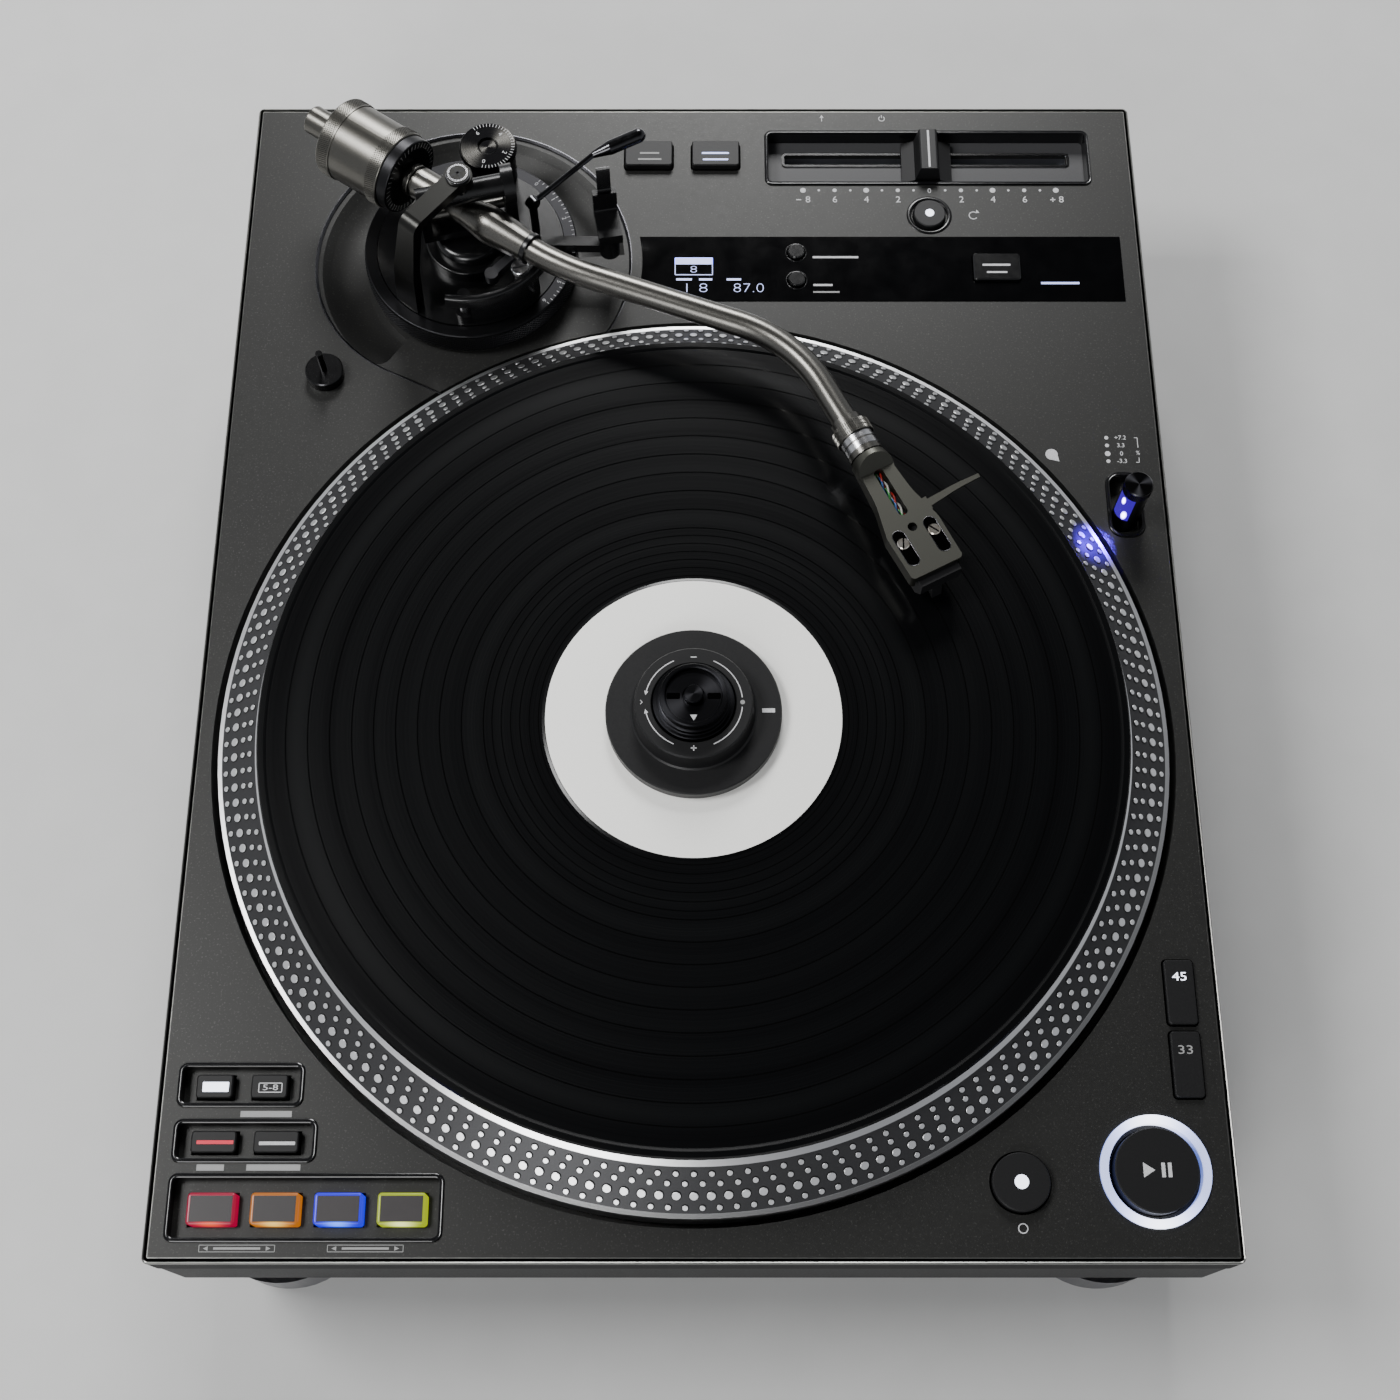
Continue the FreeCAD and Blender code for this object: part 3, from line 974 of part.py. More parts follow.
def arm_sleeve():
    """The arm's root: a swelling sleeve in front, a stub and a thinner shaft behind, and the tilt pin."""
    body = arm_body("arm_sleeve")
    bore = dim.tube_radius + dim.tube_play
    turn(body, [
        (-dim.tail_shaft_end, 0), (-dim.tail_shaft_end, dim.tail_shaft), (-dim.stub_end, dim.tail_shaft),
        (-dim.stub_end, dim.stub_radius, dim.soft_edge), (-dim.stub_flange, dim.stub_radius, dim.soft_edge),
        (-dim.stub_flange, dim.groove_radius), (-dim.stub_groove, dim.groove_radius),
        (-dim.stub_groove, dim.stub_radius), (-dim.stub_start, dim.stub_radius, dim.soft_edge),
        (-dim.stub_start + dim.stub_slope, dim.sleeve_core), (dim.sleeve_start, dim.sleeve_core),
        (dim.sleeve_wide_at, dim.sleeve_wide, dim.sleeve_round), (dim.sleeve_end, dim.sleeve_tip),
        (dim.sleeve_end, bore),
        (dim.sleeve_end - dim.socket_deep, bore), (dim.sleeve_end - dim.socket_deep, 0)], about="H_Axis")
    long = dim.cheek_left + dim.cheek_right - dim.pivot_gap * 2
    pin = body.newObject("PartDesign::AdditiveCylinder", "TiltPin")
    pin.setExpression("Radius", dim.tilt_pin.text)
    pin.setExpression("Height", long.text)
    angle = FreeCAD.Rotation(FreeCAD.Vector(0, 0, 1), dim.block_angle.number - dim.arm_angle.number)
    flat = angle.multiply(FreeCAD.Rotation(FreeCAD.Vector(0, 1, 0), 90))
    start = flat.multVec(FreeCAD.Vector(0, 0, dim.pivot_gap.number - dim.cheek_left.number))
    pin.AttachmentOffset = FreeCAD.Placement(start, flat)
    pin.Placement = FreeCAD.Placement(start, flat)
    return body


def arm_tube():
    """The S-shaped tube: three straight runs joined by two bends, hollow from end to end."""
    body = arm_body("arm_tube")
    start = dim.sleeve_end - dim.socket_deep + dim.seam
    first = dim.bend_one
    second = dim.bend_one + dim.bend_two
    elbow_x, elbow_y = dim.elbow_one + dim.run_two * cosine(first), dim.run_two * sine(first)
    end_x, end_y = elbow_x + dim.tube_end * cosine(second), elbow_y + dim.tube_end * sine(second)
    path = sketch_on(body, "XY_Plane")
    draw_outline(path, [(start, 0), (dim.elbow_one, 0, dim.bend_one_radius),
                        (elbow_x, elbow_y, dim.bend_two_radius), (end_x, end_y)], closed=False)
    section = sketch_on(body, "YZ_Plane", start)
    draw_circle(section, 0, 0, dim.tube_radius)
    draw_circle(section, 0, 0, dim.tube_radius - dim.tube_wall)
    doc.recompute()
    pipe = body.newObject("PartDesign::AdditivePipe", "Tube")
    pipe.Profile = section
    pipe.Spine = (path, [f"Edge{n + 1}" for n in range(len(path.Shape.Edges))])
    return body


def counterweight():
    """The counterweight on the tail shaft: a plain drum between two knurled bands, and a tail."""
    body = arm_body("counterweight")
    bore = dim.tail_shaft + dim.tube_play
    front = -(dim.pressure_front + dim.pressure_thick)
    band_one = front - dim.weight_knurl_long
    rear = front - dim.weight_long
    band_two = rear + dim.weight_knurl_long
    neck = rear - dim.tail_neck_long
    tail = neck - dim.tail_weight_long
    floor = -dim.tail_shaft_end - dim.weight_travel - dim.pivot_gap
    turn(body, [
        (front, bore), (floor, bore), (floor, 0), (tail, 0), (tail, dim.tail_weight, dim.soft_edge),
        (neck, dim.tail_weight), (neck, dim.tail_neck), (rear, dim.tail_neck),
        (rear, dim.weight_knurl, dim.soft_edge), (band_two, dim.weight_knurl), (band_two, dim.weight_body),
        (band_one, dim.weight_body), (band_one, dim.weight_knurl), (front, dim.weight_knurl, dim.soft_edge)],
        about="H_Axis")
    return body


def pressure_ring():
    """The black ring with the stylus force scale, in front of the counterweight."""
    body = arm_body("pressure_ring")
    front = -dim.pressure_front
    back = front - dim.pressure_thick
    turn(body, [
        (back, dim.pressure_bore), (back, dim.pressure_radius), (front, dim.pressure_radius, dim.soft_edge),
        (front, dim.pressure_bore)], about="H_Axis")
    return body


def shell_body(label):
    """A body at the tube's second elbow, turned along the headshell."""
    bend = dim.arm_angle + dim.bend_one
    x = dim.pivot_x + dim.elbow_one * cosine(dim.arm_angle) + dim.run_two * cosine(bend)
    y = dim.pivot_y + dim.elbow_one * sine(dim.arm_angle) + dim.run_two * sine(bend)
    return new_body(label, x, y, dim.arm_level, bend + dim.bend_two)


def locking_collar():
    """The collar that draws the headshell's plug into the tube."""
    body = shell_body("locking_collar")
    tube_bore = dim.tube_radius + dim.tube_play
    plug_bore = dim.plug_radius + dim.tube_play
    step = dim.tube_end + dim.pivot_gap
    turn(body, [
        (dim.collar_start, tube_bore), (dim.collar_start, dim.collar_step_radius),
        (dim.collar_step, dim.collar_step_radius), (dim.collar_step, dim.collar_knurl_radius),
        (dim.collar_knurl, dim.collar_knurl_radius), (dim.collar_knurl, dim.collar_plain_radius),
        (dim.collar_plain, dim.collar_plain_radius), (dim.collar_plain, dim.collar_band_radius),
        (dim.collar_end, dim.collar_band_radius), (dim.collar_end, plug_bore), (step, plug_bore),
        (step, tube_bore)], about="H_Axis")
    return body


def headshell():
    """The headshell: a round shoulder and plug, a waisted plate with slots, side flanges and a finger lift."""
    body = shell_body("headshell")
    start = dim.collar_end + dim.shell_seam
    neck, waist, wide, tip = dim.shell_neck, dim.shell_waist, dim.shell_wide, dim.shell_tip
    waist_round, wide_round = dim.shell_waist_round, dim.shell_wide_round
    right = [(start, -neck), (dim.shell_waist_at, -waist, waist_round), (dim.shell_wide_at, -wide, wide_round),
             (dim.shell_end, -tip, dim.shell_tip_round)]
    left = [(corner[0], -corner[1], *corner[2:]) for corner in reversed(right)]
    add(body, -dim.shell_flange, dim.shell_top, outline(*right, *left))
    under = dim.shell_top - dim.shell_plate
    wall = dim.shell_wall
    inner_right = [(dim.neck_wide_at, wall - neck), (dim.shell_waist_at, wall - waist, waist_round - wall),
                   (dim.shell_wide_at, wall - wide, wide_round - wall), (dim.shell_end + wall, wall - tip)]
    inner_left = [(corner[0], -corner[1], *corner[2:]) for corner in reversed(inner_right)]
    cut(body, -dim.shell_flange, under, outline(*inner_right, *inner_left))
    turn(body, [
        (dim.plug_back, 0), (dim.plug_back, dim.plug_radius), (start, dim.plug_radius),
        (start, dim.shoulder_radius, dim.soft_edge), (dim.neck_wide_at, dim.neck_wide, dim.neck_round),
        (dim.neck_end, dim.neck_tip), (dim.neck_end, 0)], about="H_Axis")
    above = dim.neck_wide + dim.soft_corner
    cut_side(body, above * 2, outline(
        (dim.neck_slope_at, above), (dim.shell_slot_at, dim.shell_top), (dim.neck_end, dim.shell_top),
        (dim.neck_end, above)))
    slot_middle = (dim.shell_slot_at + dim.shell_slot_end) / 2
    slot_long = dim.shell_slot_end - dim.shell_slot_at
    wires = slab(slot_middle, size(0), slot_long, dim.shell_slot_wide, dim.slot_round)
    cut(body, dim.shell_top - dim.wire_sink, dim.shell_top, wires)
    cut(body, under, dim.shell_top, disc(dim.shell_hole_at, 0, dim.shell_hole))
    screw_middle = (dim.shell_screw_at + dim.shell_screw_end) / 2
    screw_long = dim.shell_screw_end - dim.shell_screw_at
    for side in (-1, 1):
        cut(body, under, dim.shell_top,
            slab(screw_middle, dim.shell_screw_off * side, screw_long, dim.shell_screw_wide, dim.slot_round))
    thick = dim.lift_thick
    lift = outline(
        (dim.lift_root, 0), (dim.lift_flat, 0), (dim.lift_tip, dim.lift_rise),
        (dim.lift_tip, dim.lift_rise + thick), (dim.lift_flat, thick), (dim.lift_root, thick))
    add_along(body, dim.lift_at - dim.lift_wide / 2, dim.lift_at + dim.lift_wide / 2, lift)
    spare = dim.lift_wide / 2 + dim.soft_corner
    back = dim.lift_at - dim.lift_bow
    cut(body, 0, dim.lift_rise + thick, *[outline(
        (dim.lift_at + dim.lift_root_half * side, dim.lift_clear),
        (back + dim.lift_half * side, dim.lift_middle, dim.lift_curve),
        (dim.lift_at + dim.lift_tip_half * side, dim.lift_tip),
        (dim.lift_at + spare * side, dim.lift_tip), (dim.lift_at + spare * side, dim.lift_clear))
        for side in (-1, 1)])
    return body


def cartridge():
    """The cartridge under the headshell's plate, with its stylus reaching down to the record."""
    body = shell_body("cartridge")
    top = dim.shell_top - dim.shell_plate
    low = top - dim.cartridge_tall
    start, end = dim.cartridge_start, dim.cartridge_end
    case = outline((start, top), (start, low, dim.soft_corner), (end - dim.nose_long, low),
                   (end, low + dim.nose_tall), (end, top))
    add_side(body, dim.cartridge_wide, case)
    tip, lap = -dim.stylus_drop, dim.soft_corner
    stylus = outline((dim.stylus_back, low + lap), (dim.stylus_back + lap, low - lap),
                     (dim.stylus_at - dim.stylus_tip, tip), (dim.stylus_at, tip),
                     (dim.stylus_at - lap, low + lap))
    add_side(body, dim.stylus_wide, stylus)
    return body


def lifter_housing():
    """The lifter's housing on the deck: a curved wall, the lift post's guide and two fixed posts."""
    body = pivot_body("lifter_housing", dim.rail_wall_from)
    half = dim.rail_wide / 2 - dim.pivot_gap
    turn(body, [
        (dim.rail_radius - half, dim.deck_top), (dim.rail_radius + half, dim.deck_top),
        (dim.rail_radius + half, dim.rail_wall_top), (dim.rail_radius - half, dim.rail_wall_top)],
        angle=dim.rail_wall_to - dim.rail_wall_from)
    guide_x, guide_y = polar(dim.lift_post_at, dim.lift_post_angle - dim.rail_wall_from)
    add(body, dim.deck_top, dim.lift_guide_top, disc(guide_x, guide_y, dim.lift_guide))
    cut(body, dim.deck_top, dim.rail_bottom, disc(guide_x, guide_y, dim.lift_post + dim.lift_play))
    knob_x, knob_y = polar(dim.knob_post_at, dim.knob_post_angle - dim.rail_wall_from)
    add(body, dim.deck_top, dim.knob_post_top, disc(knob_x, knob_y, dim.knob_post))
    cue_x, cue_y = polar(dim.cue_post_at, dim.cue_post_angle - dim.rail_wall_from)
    add(body, dim.deck_top, dim.cue_level - dim.cue_hub - dim.pivot_gap, disc(cue_x, cue_y, dim.cue_post))
    return body


def lifter_rail():
    """The curved rail under the tube, on its lift post."""
    body = pivot_body("lifter_rail", dim.rail_from)
    half = dim.rail_wide / 2
    low, high = dim.rail_radius - half, dim.rail_radius + half
    turn(body, [(low, dim.rail_bottom), (high, dim.rail_bottom), (high, dim.rail_top, dim.rail_round),
                (low, dim.rail_top, dim.rail_round)], angle=dim.rail_to - dim.rail_from)
    post_x, post_y = polar(dim.lift_post_at, dim.lift_post_angle - dim.rail_from)
    post = disc(post_x, post_y, dim.lift_post)
    add(body, dim.deck_top + dim.pivot_gap, dim.rail_top - dim.rail_round, post)
    return body


def cue_lever():
    """The cue lever: a small hub, a thin rod and a thicker grip that bends back from it."""
    body = new_body("cue_lever", dim.cue_x, dim.cue_y, dim.cue_level, dim.cue_angle)
    tilt = FreeCAD.Rotation(FreeCAD.Vector(0, 1, 0), -dim.cue_rise.number)
    body.Placement = FreeCAD.Placement(body.Placement.Base, body.Placement.Rotation.multiply(tilt))
    add_side(body, dim.cue_half * 2, disc(0, 0, dim.cue_hub))
    add_along(body, 0, dim.cue_rod_long, disc(0, 0, dim.cue_rod))
    sideways = FreeCAD.Rotation(FreeCAD.Vector(0, 1, 0), 90)
    bent = FreeCAD.Rotation(FreeCAD.Vector(0, 0, 1), dim.cue_kink.number).multiply(sideways)
    root = FreeCAD.Vector(dim.cue_rod_long.number - dim.cue_rod.number, 0, 0)
    along = bent.multVec(FreeCAD.Vector(0, 0, dim.grip_cone.number))
    cone = body.newObject("PartDesign::AdditiveCone", "GripCone")
    cone.setExpression("Radius1", dim.grip_neck.text)
    cone.setExpression("Radius2", dim.grip_radius.text)
    cone.setExpression("Height", dim.grip_cone.text)
    cone.AttachmentOffset = cone.Placement = FreeCAD.Placement(root, bent)
    grip = body.newObject("PartDesign::AdditiveCylinder", "Grip")
    grip.setExpression("Radius", dim.grip_radius.text)
    grip.setExpression("Height", dim.grip_long.text)
    grip.AttachmentOffset = grip.Placement = FreeCAD.Placement(root.add(along), bent)
    tip = bent.multVec(FreeCAD.Vector(0, 0, dim.grip_cone.number + dim.grip_long.number))
    end = body.newObject("PartDesign::AdditiveSphere", "GripEnd")
    end.setExpression("Radius", dim.grip_radius.text)
    end.AttachmentOffset = end.Placement = FreeCAD.Placement(root.add(tip), bent)
    return body


def height_lock_lever():
    """The lever that locks the height ring, on its own post."""
    body = new_body("height_lock_lever", dim.lock_x, dim.lock_y, 0, dim.lock_angle)
    add(body, dim.lock_bottom, dim.lock_top, disc(0, 0, dim.lock_hub))
    waist = slab(dim.lock_long / 2, size(0), dim.lock_long, dim.lock_waist * 2)
    add(body, dim.lock_bottom, dim.lock_top, waist)
    add(body, dim.lock_bottom, dim.lock_top, disc(dim.lock_long, 0, dim.lock_lobe))
    add(body, dim.deck_top + dim.pivot_gap, dim.lock_bottom, disc(0, 0, dim.lock_post))
    return body


def anti_skate_housing():
    body = new_body("anti_skate_housing", dim.skate_x, dim.skate_y)
    add(body, dim.deck_top, dim.skate_body_top, disc(0, 0, dim.skate_body))
    chamfer(body, dim.key_bevel, at_level(dim.deck_top))
    return body


def anti_skate_dial():
    """The anti-skating dial, a spun disc with a raised centre and a bevelled edge."""
    body = new_body("anti_skate_dial", dim.skate_x, dim.skate_y)
    low = dim.skate_body_top + dim.skate_gap
    sink = dim.skate_top - dim.skate_sink
    turn(body, [(0, low), (dim.skate_radius, low), (dim.skate_radius, dim.skate_top, dim.soft_edge),
                (dim.skate_rim + dim.skate_slope, dim.skate_top), (dim.skate_rim, sink), (0, sink)])
    return body


def arm_rest():
    """The arm rest: a bar out from the deck, a post and a cradle with one high wall."""
    body = new_body("arm_rest", dim.rest_x, dim.rest_y, 0, dim.rest_angle)
    half_long = dim.rest_long / 2
    cradle = outline(
        (dim.rest_near, dim.rest_under), (dim.rest_far_out, dim.rest_under),
        (dim.rest_far_out, dim.rest_far_top), (dim.rest_far_in, dim.rest_far_top),
        (dim.rest_far_in, dim.rest_floor, dim.soft_corner), (dim.rest_near, dim.rest_floor))
    add_along(body, -half_long, half_long, cradle)
    add(body, dim.rest_post_bottom, dim.rest_under, disc(0, 0, dim.rest_post))
    half, back, side = dim.rest_bar_wide / 2, -dim.rest_bar_back, dim.rest_bar_side
    add(body, dim.rest_bar_bottom, dim.rest_bar_top, outline(
        (back, side - half), (0, -half), (0, half), (back, side + half)))
    add(body, dim.deck_top, dim.rest_bar_bottom, disc(back + dim.rest_bar_foot, side, half))
    return body


def rest_clip():
    """The clip that closes over the parked tube, shown standing open."""
    body = new_body("rest_clip", dim.rest_x, dim.rest_y, 0, dim.rest_angle)
    middle = (dim.rest_far_in + dim.rest_far_out) / 2
    half_wide, half_thick = dim.clip_wide / 2, dim.clip_thick / 2
    add_along(body, -half_wide, half_wide, disc(middle, dim.clip_level, dim.clip_hinge))
    add_along(body, -half_wide, half_wide, outline(
        (middle - half_thick, dim.clip_level), (middle + half_thick, dim.clip_level),
        (middle + half_thick, dim.clip_top, dim.soft_edge),
        (middle - half_thick, dim.clip_top, dim.soft_edge)))
    return body


def main_board():
    """The control board on its standoffs, with its larger chips."""
    body = new_body("main_board", dim.board_x, dim.board_y)
    high = dim.board_level + dim.board_thick
    add(body, dim.board_level, high, slab(0, 0, dim.board_wide, dim.board_deep))
    for place in (-1, 0, 1):
        chip = slab(dim.chip_pitch * place, size(0), dim.chip_size, dim.chip_size)
        add(body, high, high + dim.chip_tall, chip)
    return body


def power_supply():
    """The power supply's case with its cooling fins, on the base's floor."""
    body = new_body("power_supply", dim.supply_x, dim.supply_y)
    high = BASE_FLOOR + dim.supply_tall
    add(body, BASE_FLOOR, high - dim.fin_pitch, slab(0, 0, dim.supply_wide, dim.supply_deep))
    for step in range(-3, 4):
        fin = slab(dim.fin_pitch * step, size(0), dim.supply_fin, dim.supply_deep)
        add(body, high - dim.fin_pitch, high, fin)
    return body


def rear_sockets():
    """The rear panel inside its opening: sound jacks, earth post, data socket, switch hole and mains inlet."""
    body = new_body("rear_sockets")
    front = REAR_INNER - dim.seam
    middle = front - dim.rear_thick / 2
    level = dim.jack_level
    plate_x = (dim.rear_left + dim.rear_right) / 2
    plate_z = (dim.rear_bottom + dim.rear_top) / 2
    plate = slab(plate_x, plate_z, dim.rear_right - dim.rear_left, dim.rear_top - dim.rear_bottom)
    add_side(body, dim.rear_thick, plate, middle=middle)
    jack_middle = front + dim.jack_long / 2
    for step in range(JACKS):
        x = dim.jack_first_x + dim.jack_pitch * step
        add_side(body, dim.jack_long, disc(x, level, dim.jack_radius), middle=jack_middle)
        cut_side(body, dim.jack_long, disc(x, level, dim.jack_core), middle=jack_middle)
    add_side(body, dim.jack_long, disc(dim.ground_x, level, dim.ground_radius), middle=jack_middle)
    wall = dim.socket_wall * 2
    for x, wide, tall, deep in (
            (dim.usb_x, dim.usb_wide, dim.usb_tall, dim.usb_deep),
            (dim.inlet_x, dim.inlet_wide, dim.inlet_tall, dim.inlet_deep)):
        add_side(body, deep, slab(x, level, wide + wall, tall + wall), middle=front - deep / 2)
        hollow = deep - dim.socket_wall
        cut_side(body, hollow, slab(x, level, wide, tall), middle=front - hollow / 2)
    hole = grown_slab(dim.switch_x, level, dim.switch_wide, dim.switch_tall, dim.switch_play)
    cut_side(body, dim.rear_thick, hole, middle=middle)
    return body


def power_switch():
    """The mains switch's rocker, resting at one end of its travel."""
    body = new_body("power_switch", dim.switch_x, REAR_INNER - dim.rocker_inset, dim.jack_level)
    tilt = FreeCAD.Rotation(FreeCAD.Vector(1, 0, 0), -dim.rocker_tilt.number)
    body.Placement = FreeCAD.Placement(body.Placement.Base, tilt)
    back, half, root = -dim.rocker_back, dim.rocker_half, dim.rocker_root
    add_along(body, -dim.switch_wide / 2, dim.switch_wide / 2, outline(
        (back, -root), (dim.rocker_face, -half), (dim.rocker_crown, 0), (dim.rocker_face, half), (back, root)))
    add_along(body, -dim.switch_wide / 2, dim.switch_wide / 2, disc(size(0), 0, dim.rocker_pivot))
    return body


def build_all():
    top_panel()
    display_panel()
    side_frame()
    bottom_base()
    feet()
    case_screws()
    panel_trays()
    keys()
    start_ring()
    fader_unit()
    fader_knob()
    lamp_post()
    auxiliary_weight()
    platter()
    slipmat()
    rotor_shaft()
    motor_stator()
    record()
    clamp_base()
    clamp_dial()
    height_ring()
    arm_base()
    yoke()
    bearing_block()
    arm_sleeve()
    arm_tube()
    counterweight()
    pressure_ring()
    locking_collar()
    headshell()
    cartridge()
    lifter_housing()
    lifter_rail()
    cue_lever()
    height_lock_lever()
    anti_skate_housing()
    anti_skate_dial()
    arm_rest()
    rest_clip()
    main_board()
    power_supply()
    rear_sockets()
    power_switch()


def write_parts():
    """Checks every feature and solid, then writes one file for each body."""
    doc.recompute()
    faults = [f"{item.Name} of {item.getParentGeoFeatureGroup()}" for item in doc.Objects
              if {"Invalid", "Error"} & set(item.State)]
    if faults:
        raise SystemExit(f"failed: {faults}")
    os.makedirs("parts", exist_ok=True)
    for body in bodies:
        shape = body.Shape
        if shape.isNull() or not shape.isValid():
            raise SystemExit(f"{body.Label} is not a valid solid")
        shape.exportStep(f"parts/{body.Label}.step")
        box = shape.BoundBox
        ends = (box.XMin, box.XMax, box.YMin, box.YMax, box.ZMin, box.ZMax)
        print(f"{body.Label}: {len(shape.Solids)} solid(s), {shape.Volume:.0f} mm3, box {ends}")


build_all()
write_parts()
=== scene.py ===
import math

import bmesh
import bpy
from mathutils import Matrix, Vector


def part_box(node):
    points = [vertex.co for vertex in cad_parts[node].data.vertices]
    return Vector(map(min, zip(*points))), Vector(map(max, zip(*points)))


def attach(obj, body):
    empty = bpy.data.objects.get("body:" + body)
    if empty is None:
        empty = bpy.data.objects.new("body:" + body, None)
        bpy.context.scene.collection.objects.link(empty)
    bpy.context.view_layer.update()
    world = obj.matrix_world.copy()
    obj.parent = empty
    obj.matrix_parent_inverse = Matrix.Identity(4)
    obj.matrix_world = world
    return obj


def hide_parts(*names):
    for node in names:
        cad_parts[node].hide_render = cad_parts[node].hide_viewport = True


bl_info = {
    "name": "DJ turntable looks",
    "version": (1, 0, 0),
    "blender": (4, 5, 0),
    "location": "3D View > Sidebar > Turntable",
    "description": "Dresses the packed turntable: finishes, printed marks, lit keys, knurls and small fittings",
    "category": "Object",
}

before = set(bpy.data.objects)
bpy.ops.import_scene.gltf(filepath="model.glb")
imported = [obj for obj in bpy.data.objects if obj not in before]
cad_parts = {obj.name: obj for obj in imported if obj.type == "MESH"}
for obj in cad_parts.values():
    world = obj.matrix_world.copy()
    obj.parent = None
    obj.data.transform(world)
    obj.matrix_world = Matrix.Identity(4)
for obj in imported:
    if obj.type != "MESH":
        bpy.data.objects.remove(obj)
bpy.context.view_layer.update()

# Meshes are built in millimetres and scaled to metres when they become objects.
MM = 0.001
FULL_TURN = 2 * math.pi

# How deep a printed mark or a key's light starts under the face that carries it, in millimetres.
SINK = 0.05


def box(node):
    """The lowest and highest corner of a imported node, in millimetres."""
    low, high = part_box(node)
    return low / MM, high / MM


def middle(node):
    low, high = box(node)
    return (low + high) / 2


def top_of(node):
    return box(node)[1].z


def around_point(x, y, radius, angle):
    """A point at a radius and an angle from x, y."""
    return x + radius * math.cos(angle), y + radius * math.sin(angle)


PLATE = top_of("top_panel") - 0.2
PLATTER = Vector((middle("platter").x, middle("platter").y, 0))
PIVOT = Vector((middle("height_ring").x, middle("height_ring").y, 0))
RECORD_TOP = top_of("record")

# The tonearm: the level of its tube, its angle at rest and the two bends of the S.
ARM_LEVEL = 134
ARM_ANGLE = math.radians(-34.8)
BEND_ONE = math.radians(14.5)
BEND_TWO = math.radians(-42.3)
ELBOW_ONE = 45
RUN_TWO = 91.8


def arm_matrix():
    """Arm coordinates: X runs forward along the sleeve from the pivot."""
    return Matrix.Translation((PIVOT.x, PIVOT.y, ARM_LEVEL)) @ Matrix.Rotation(ARM_ANGLE, 4, "Z")


def shell_matrix():
    """Headshell coordinates: X runs forward from the tube's second elbow."""
    to_elbow = Matrix.Translation((ELBOW_ONE, 0, 0)) @ Matrix.Rotation(BEND_ONE, 4, "Z")
    return arm_matrix() @ to_elbow @ Matrix.Translation((RUN_TWO, 0, 0)) @ Matrix.Rotation(BEND_TWO, 4, "Z")


# Colours and shader nodes


def linear(code):
    """A colour written as sRGB hex, as linear red, green, blue and alpha."""
    channels = [int(code[start:start + 2], 16) / 255 for start in (1, 3, 5)]
    return tuple(c / 12.92 if c <= 0.04045 else ((c + 0.055) / 1.055) ** 2.4 for c in channels) + (1.0,)


def add_node(tree, kind, inputs=None, **settings):
    """Adds a node. An input is given by socket name or number, as a value or as another node's output."""
    node = tree.nodes.new(kind)
    for name, value in settings.items():
        setattr(node, name, value)
    for key, value in (inputs or {}).items():
        if isinstance(value, bpy.types.NodeSocket):
            tree.links.new(value, node.inputs[key])
        else:
            node.inputs[key].default_value = value
    return node


def math_node(tree, operation, first, second=0.0):
    return add_node(tree, "ShaderNodeMath", {0: first, 1: second}, operation=operation).outputs[0]


def new_material(name):
    made = bpy.data.materials.new(name)
    made.use_nodes = True
    made.node_tree.nodes.clear()
    return made, made.node_tree


def object_coordinates(tree, centre=None):
    """Object coordinates in metres, moved so that a point given in millimetres is their origin."""
    place = add_node(tree, "ShaderNodeTexCoord").outputs["Object"]
    if centre is None:
        return place
    shift = tuple(-value * MM for value in centre)
    return add_node(tree, "ShaderNodeMapping", {"Vector": place, "Location": shift}).outputs[0]


def radius_from(tree, centre):
    """The distance in millimetres from a vertical axis."""
    place = object_coordinates(tree, centre)
    flat = add_node(tree, "ShaderNodeVectorMath", {0: place, 1: (1 / MM, 1 / MM, 0)}, operation="MULTIPLY")
    return add_node(tree, "ShaderNodeVectorMath", {0: flat.outputs[0]}, operation="LENGTH").outputs["Value"]


def nearness(tree, centre, reach):
    """1 at a point given in millimetres, falling smoothly to 0 at reach millimetres from it."""
    place = object_coordinates(tree, centre)
    away = add_node(tree, "ShaderNodeVectorMath", {0: place}, operation="LENGTH").outputs["Value"]
    inputs = {"Value": away, "From Min": 0.0, "From Max": reach * MM, "To Min": 1.0, "To Max": 0.0}
    return add_node(tree, "ShaderNodeMapRange", inputs, interpolation_type="SMOOTHSTEP").outputs[0]


def grain(tree, spacing, detail=2.0, vector=None):
    """Noise whose cells are about spacing millimetres across."""
    vector = vector or object_coordinates(tree)
    inputs = {"Vector": vector, "Scale": 1 / (spacing * MM), "Detail": detail, "Roughness": 0.6}
    return add_node(tree, "ShaderNodeTexNoise", inputs).outputs[0]


def rings_noise(tree, measure, scale, detail):
    """Noise along one measure, such as a radius: the same all round, so it draws rings."""
    inputs = {"W": measure, "Scale": scale, "Detail": detail}
    return add_node(tree, "ShaderNodeTexNoise", inputs, noise_dimensions="1D").outputs[0]


def spread(tree, value, low, high, lowest=0.0, highest=1.0):
    """Maps a value from one range to another."""
    inputs = {"Value": value, "From Min": lowest, "From Max": highest, "To Min": low, "To Max": high}
    return add_node(tree, "ShaderNodeMapRange", inputs).outputs[0]


def blend(tree, share, first, second):
    """Mixes two colours, each a hex code or a socket."""
    colours = [value if isinstance(value, bpy.types.NodeSocket) else linear(value) for value in (first, second)]
    mix = add_node(tree, "ShaderNodeMix", {0: share, 6: colours[0], 7: colours[1]}, data_type="RGBA")
    return mix.outputs[2]


def bump(tree, height, depth, strength=0.5):
    """A bump of a real depth in millimetres."""
    inputs = {"Height": height, "Distance": depth * MM, "Strength": strength}
    return add_node(tree, "ShaderNodeBump", inputs).outputs[0]


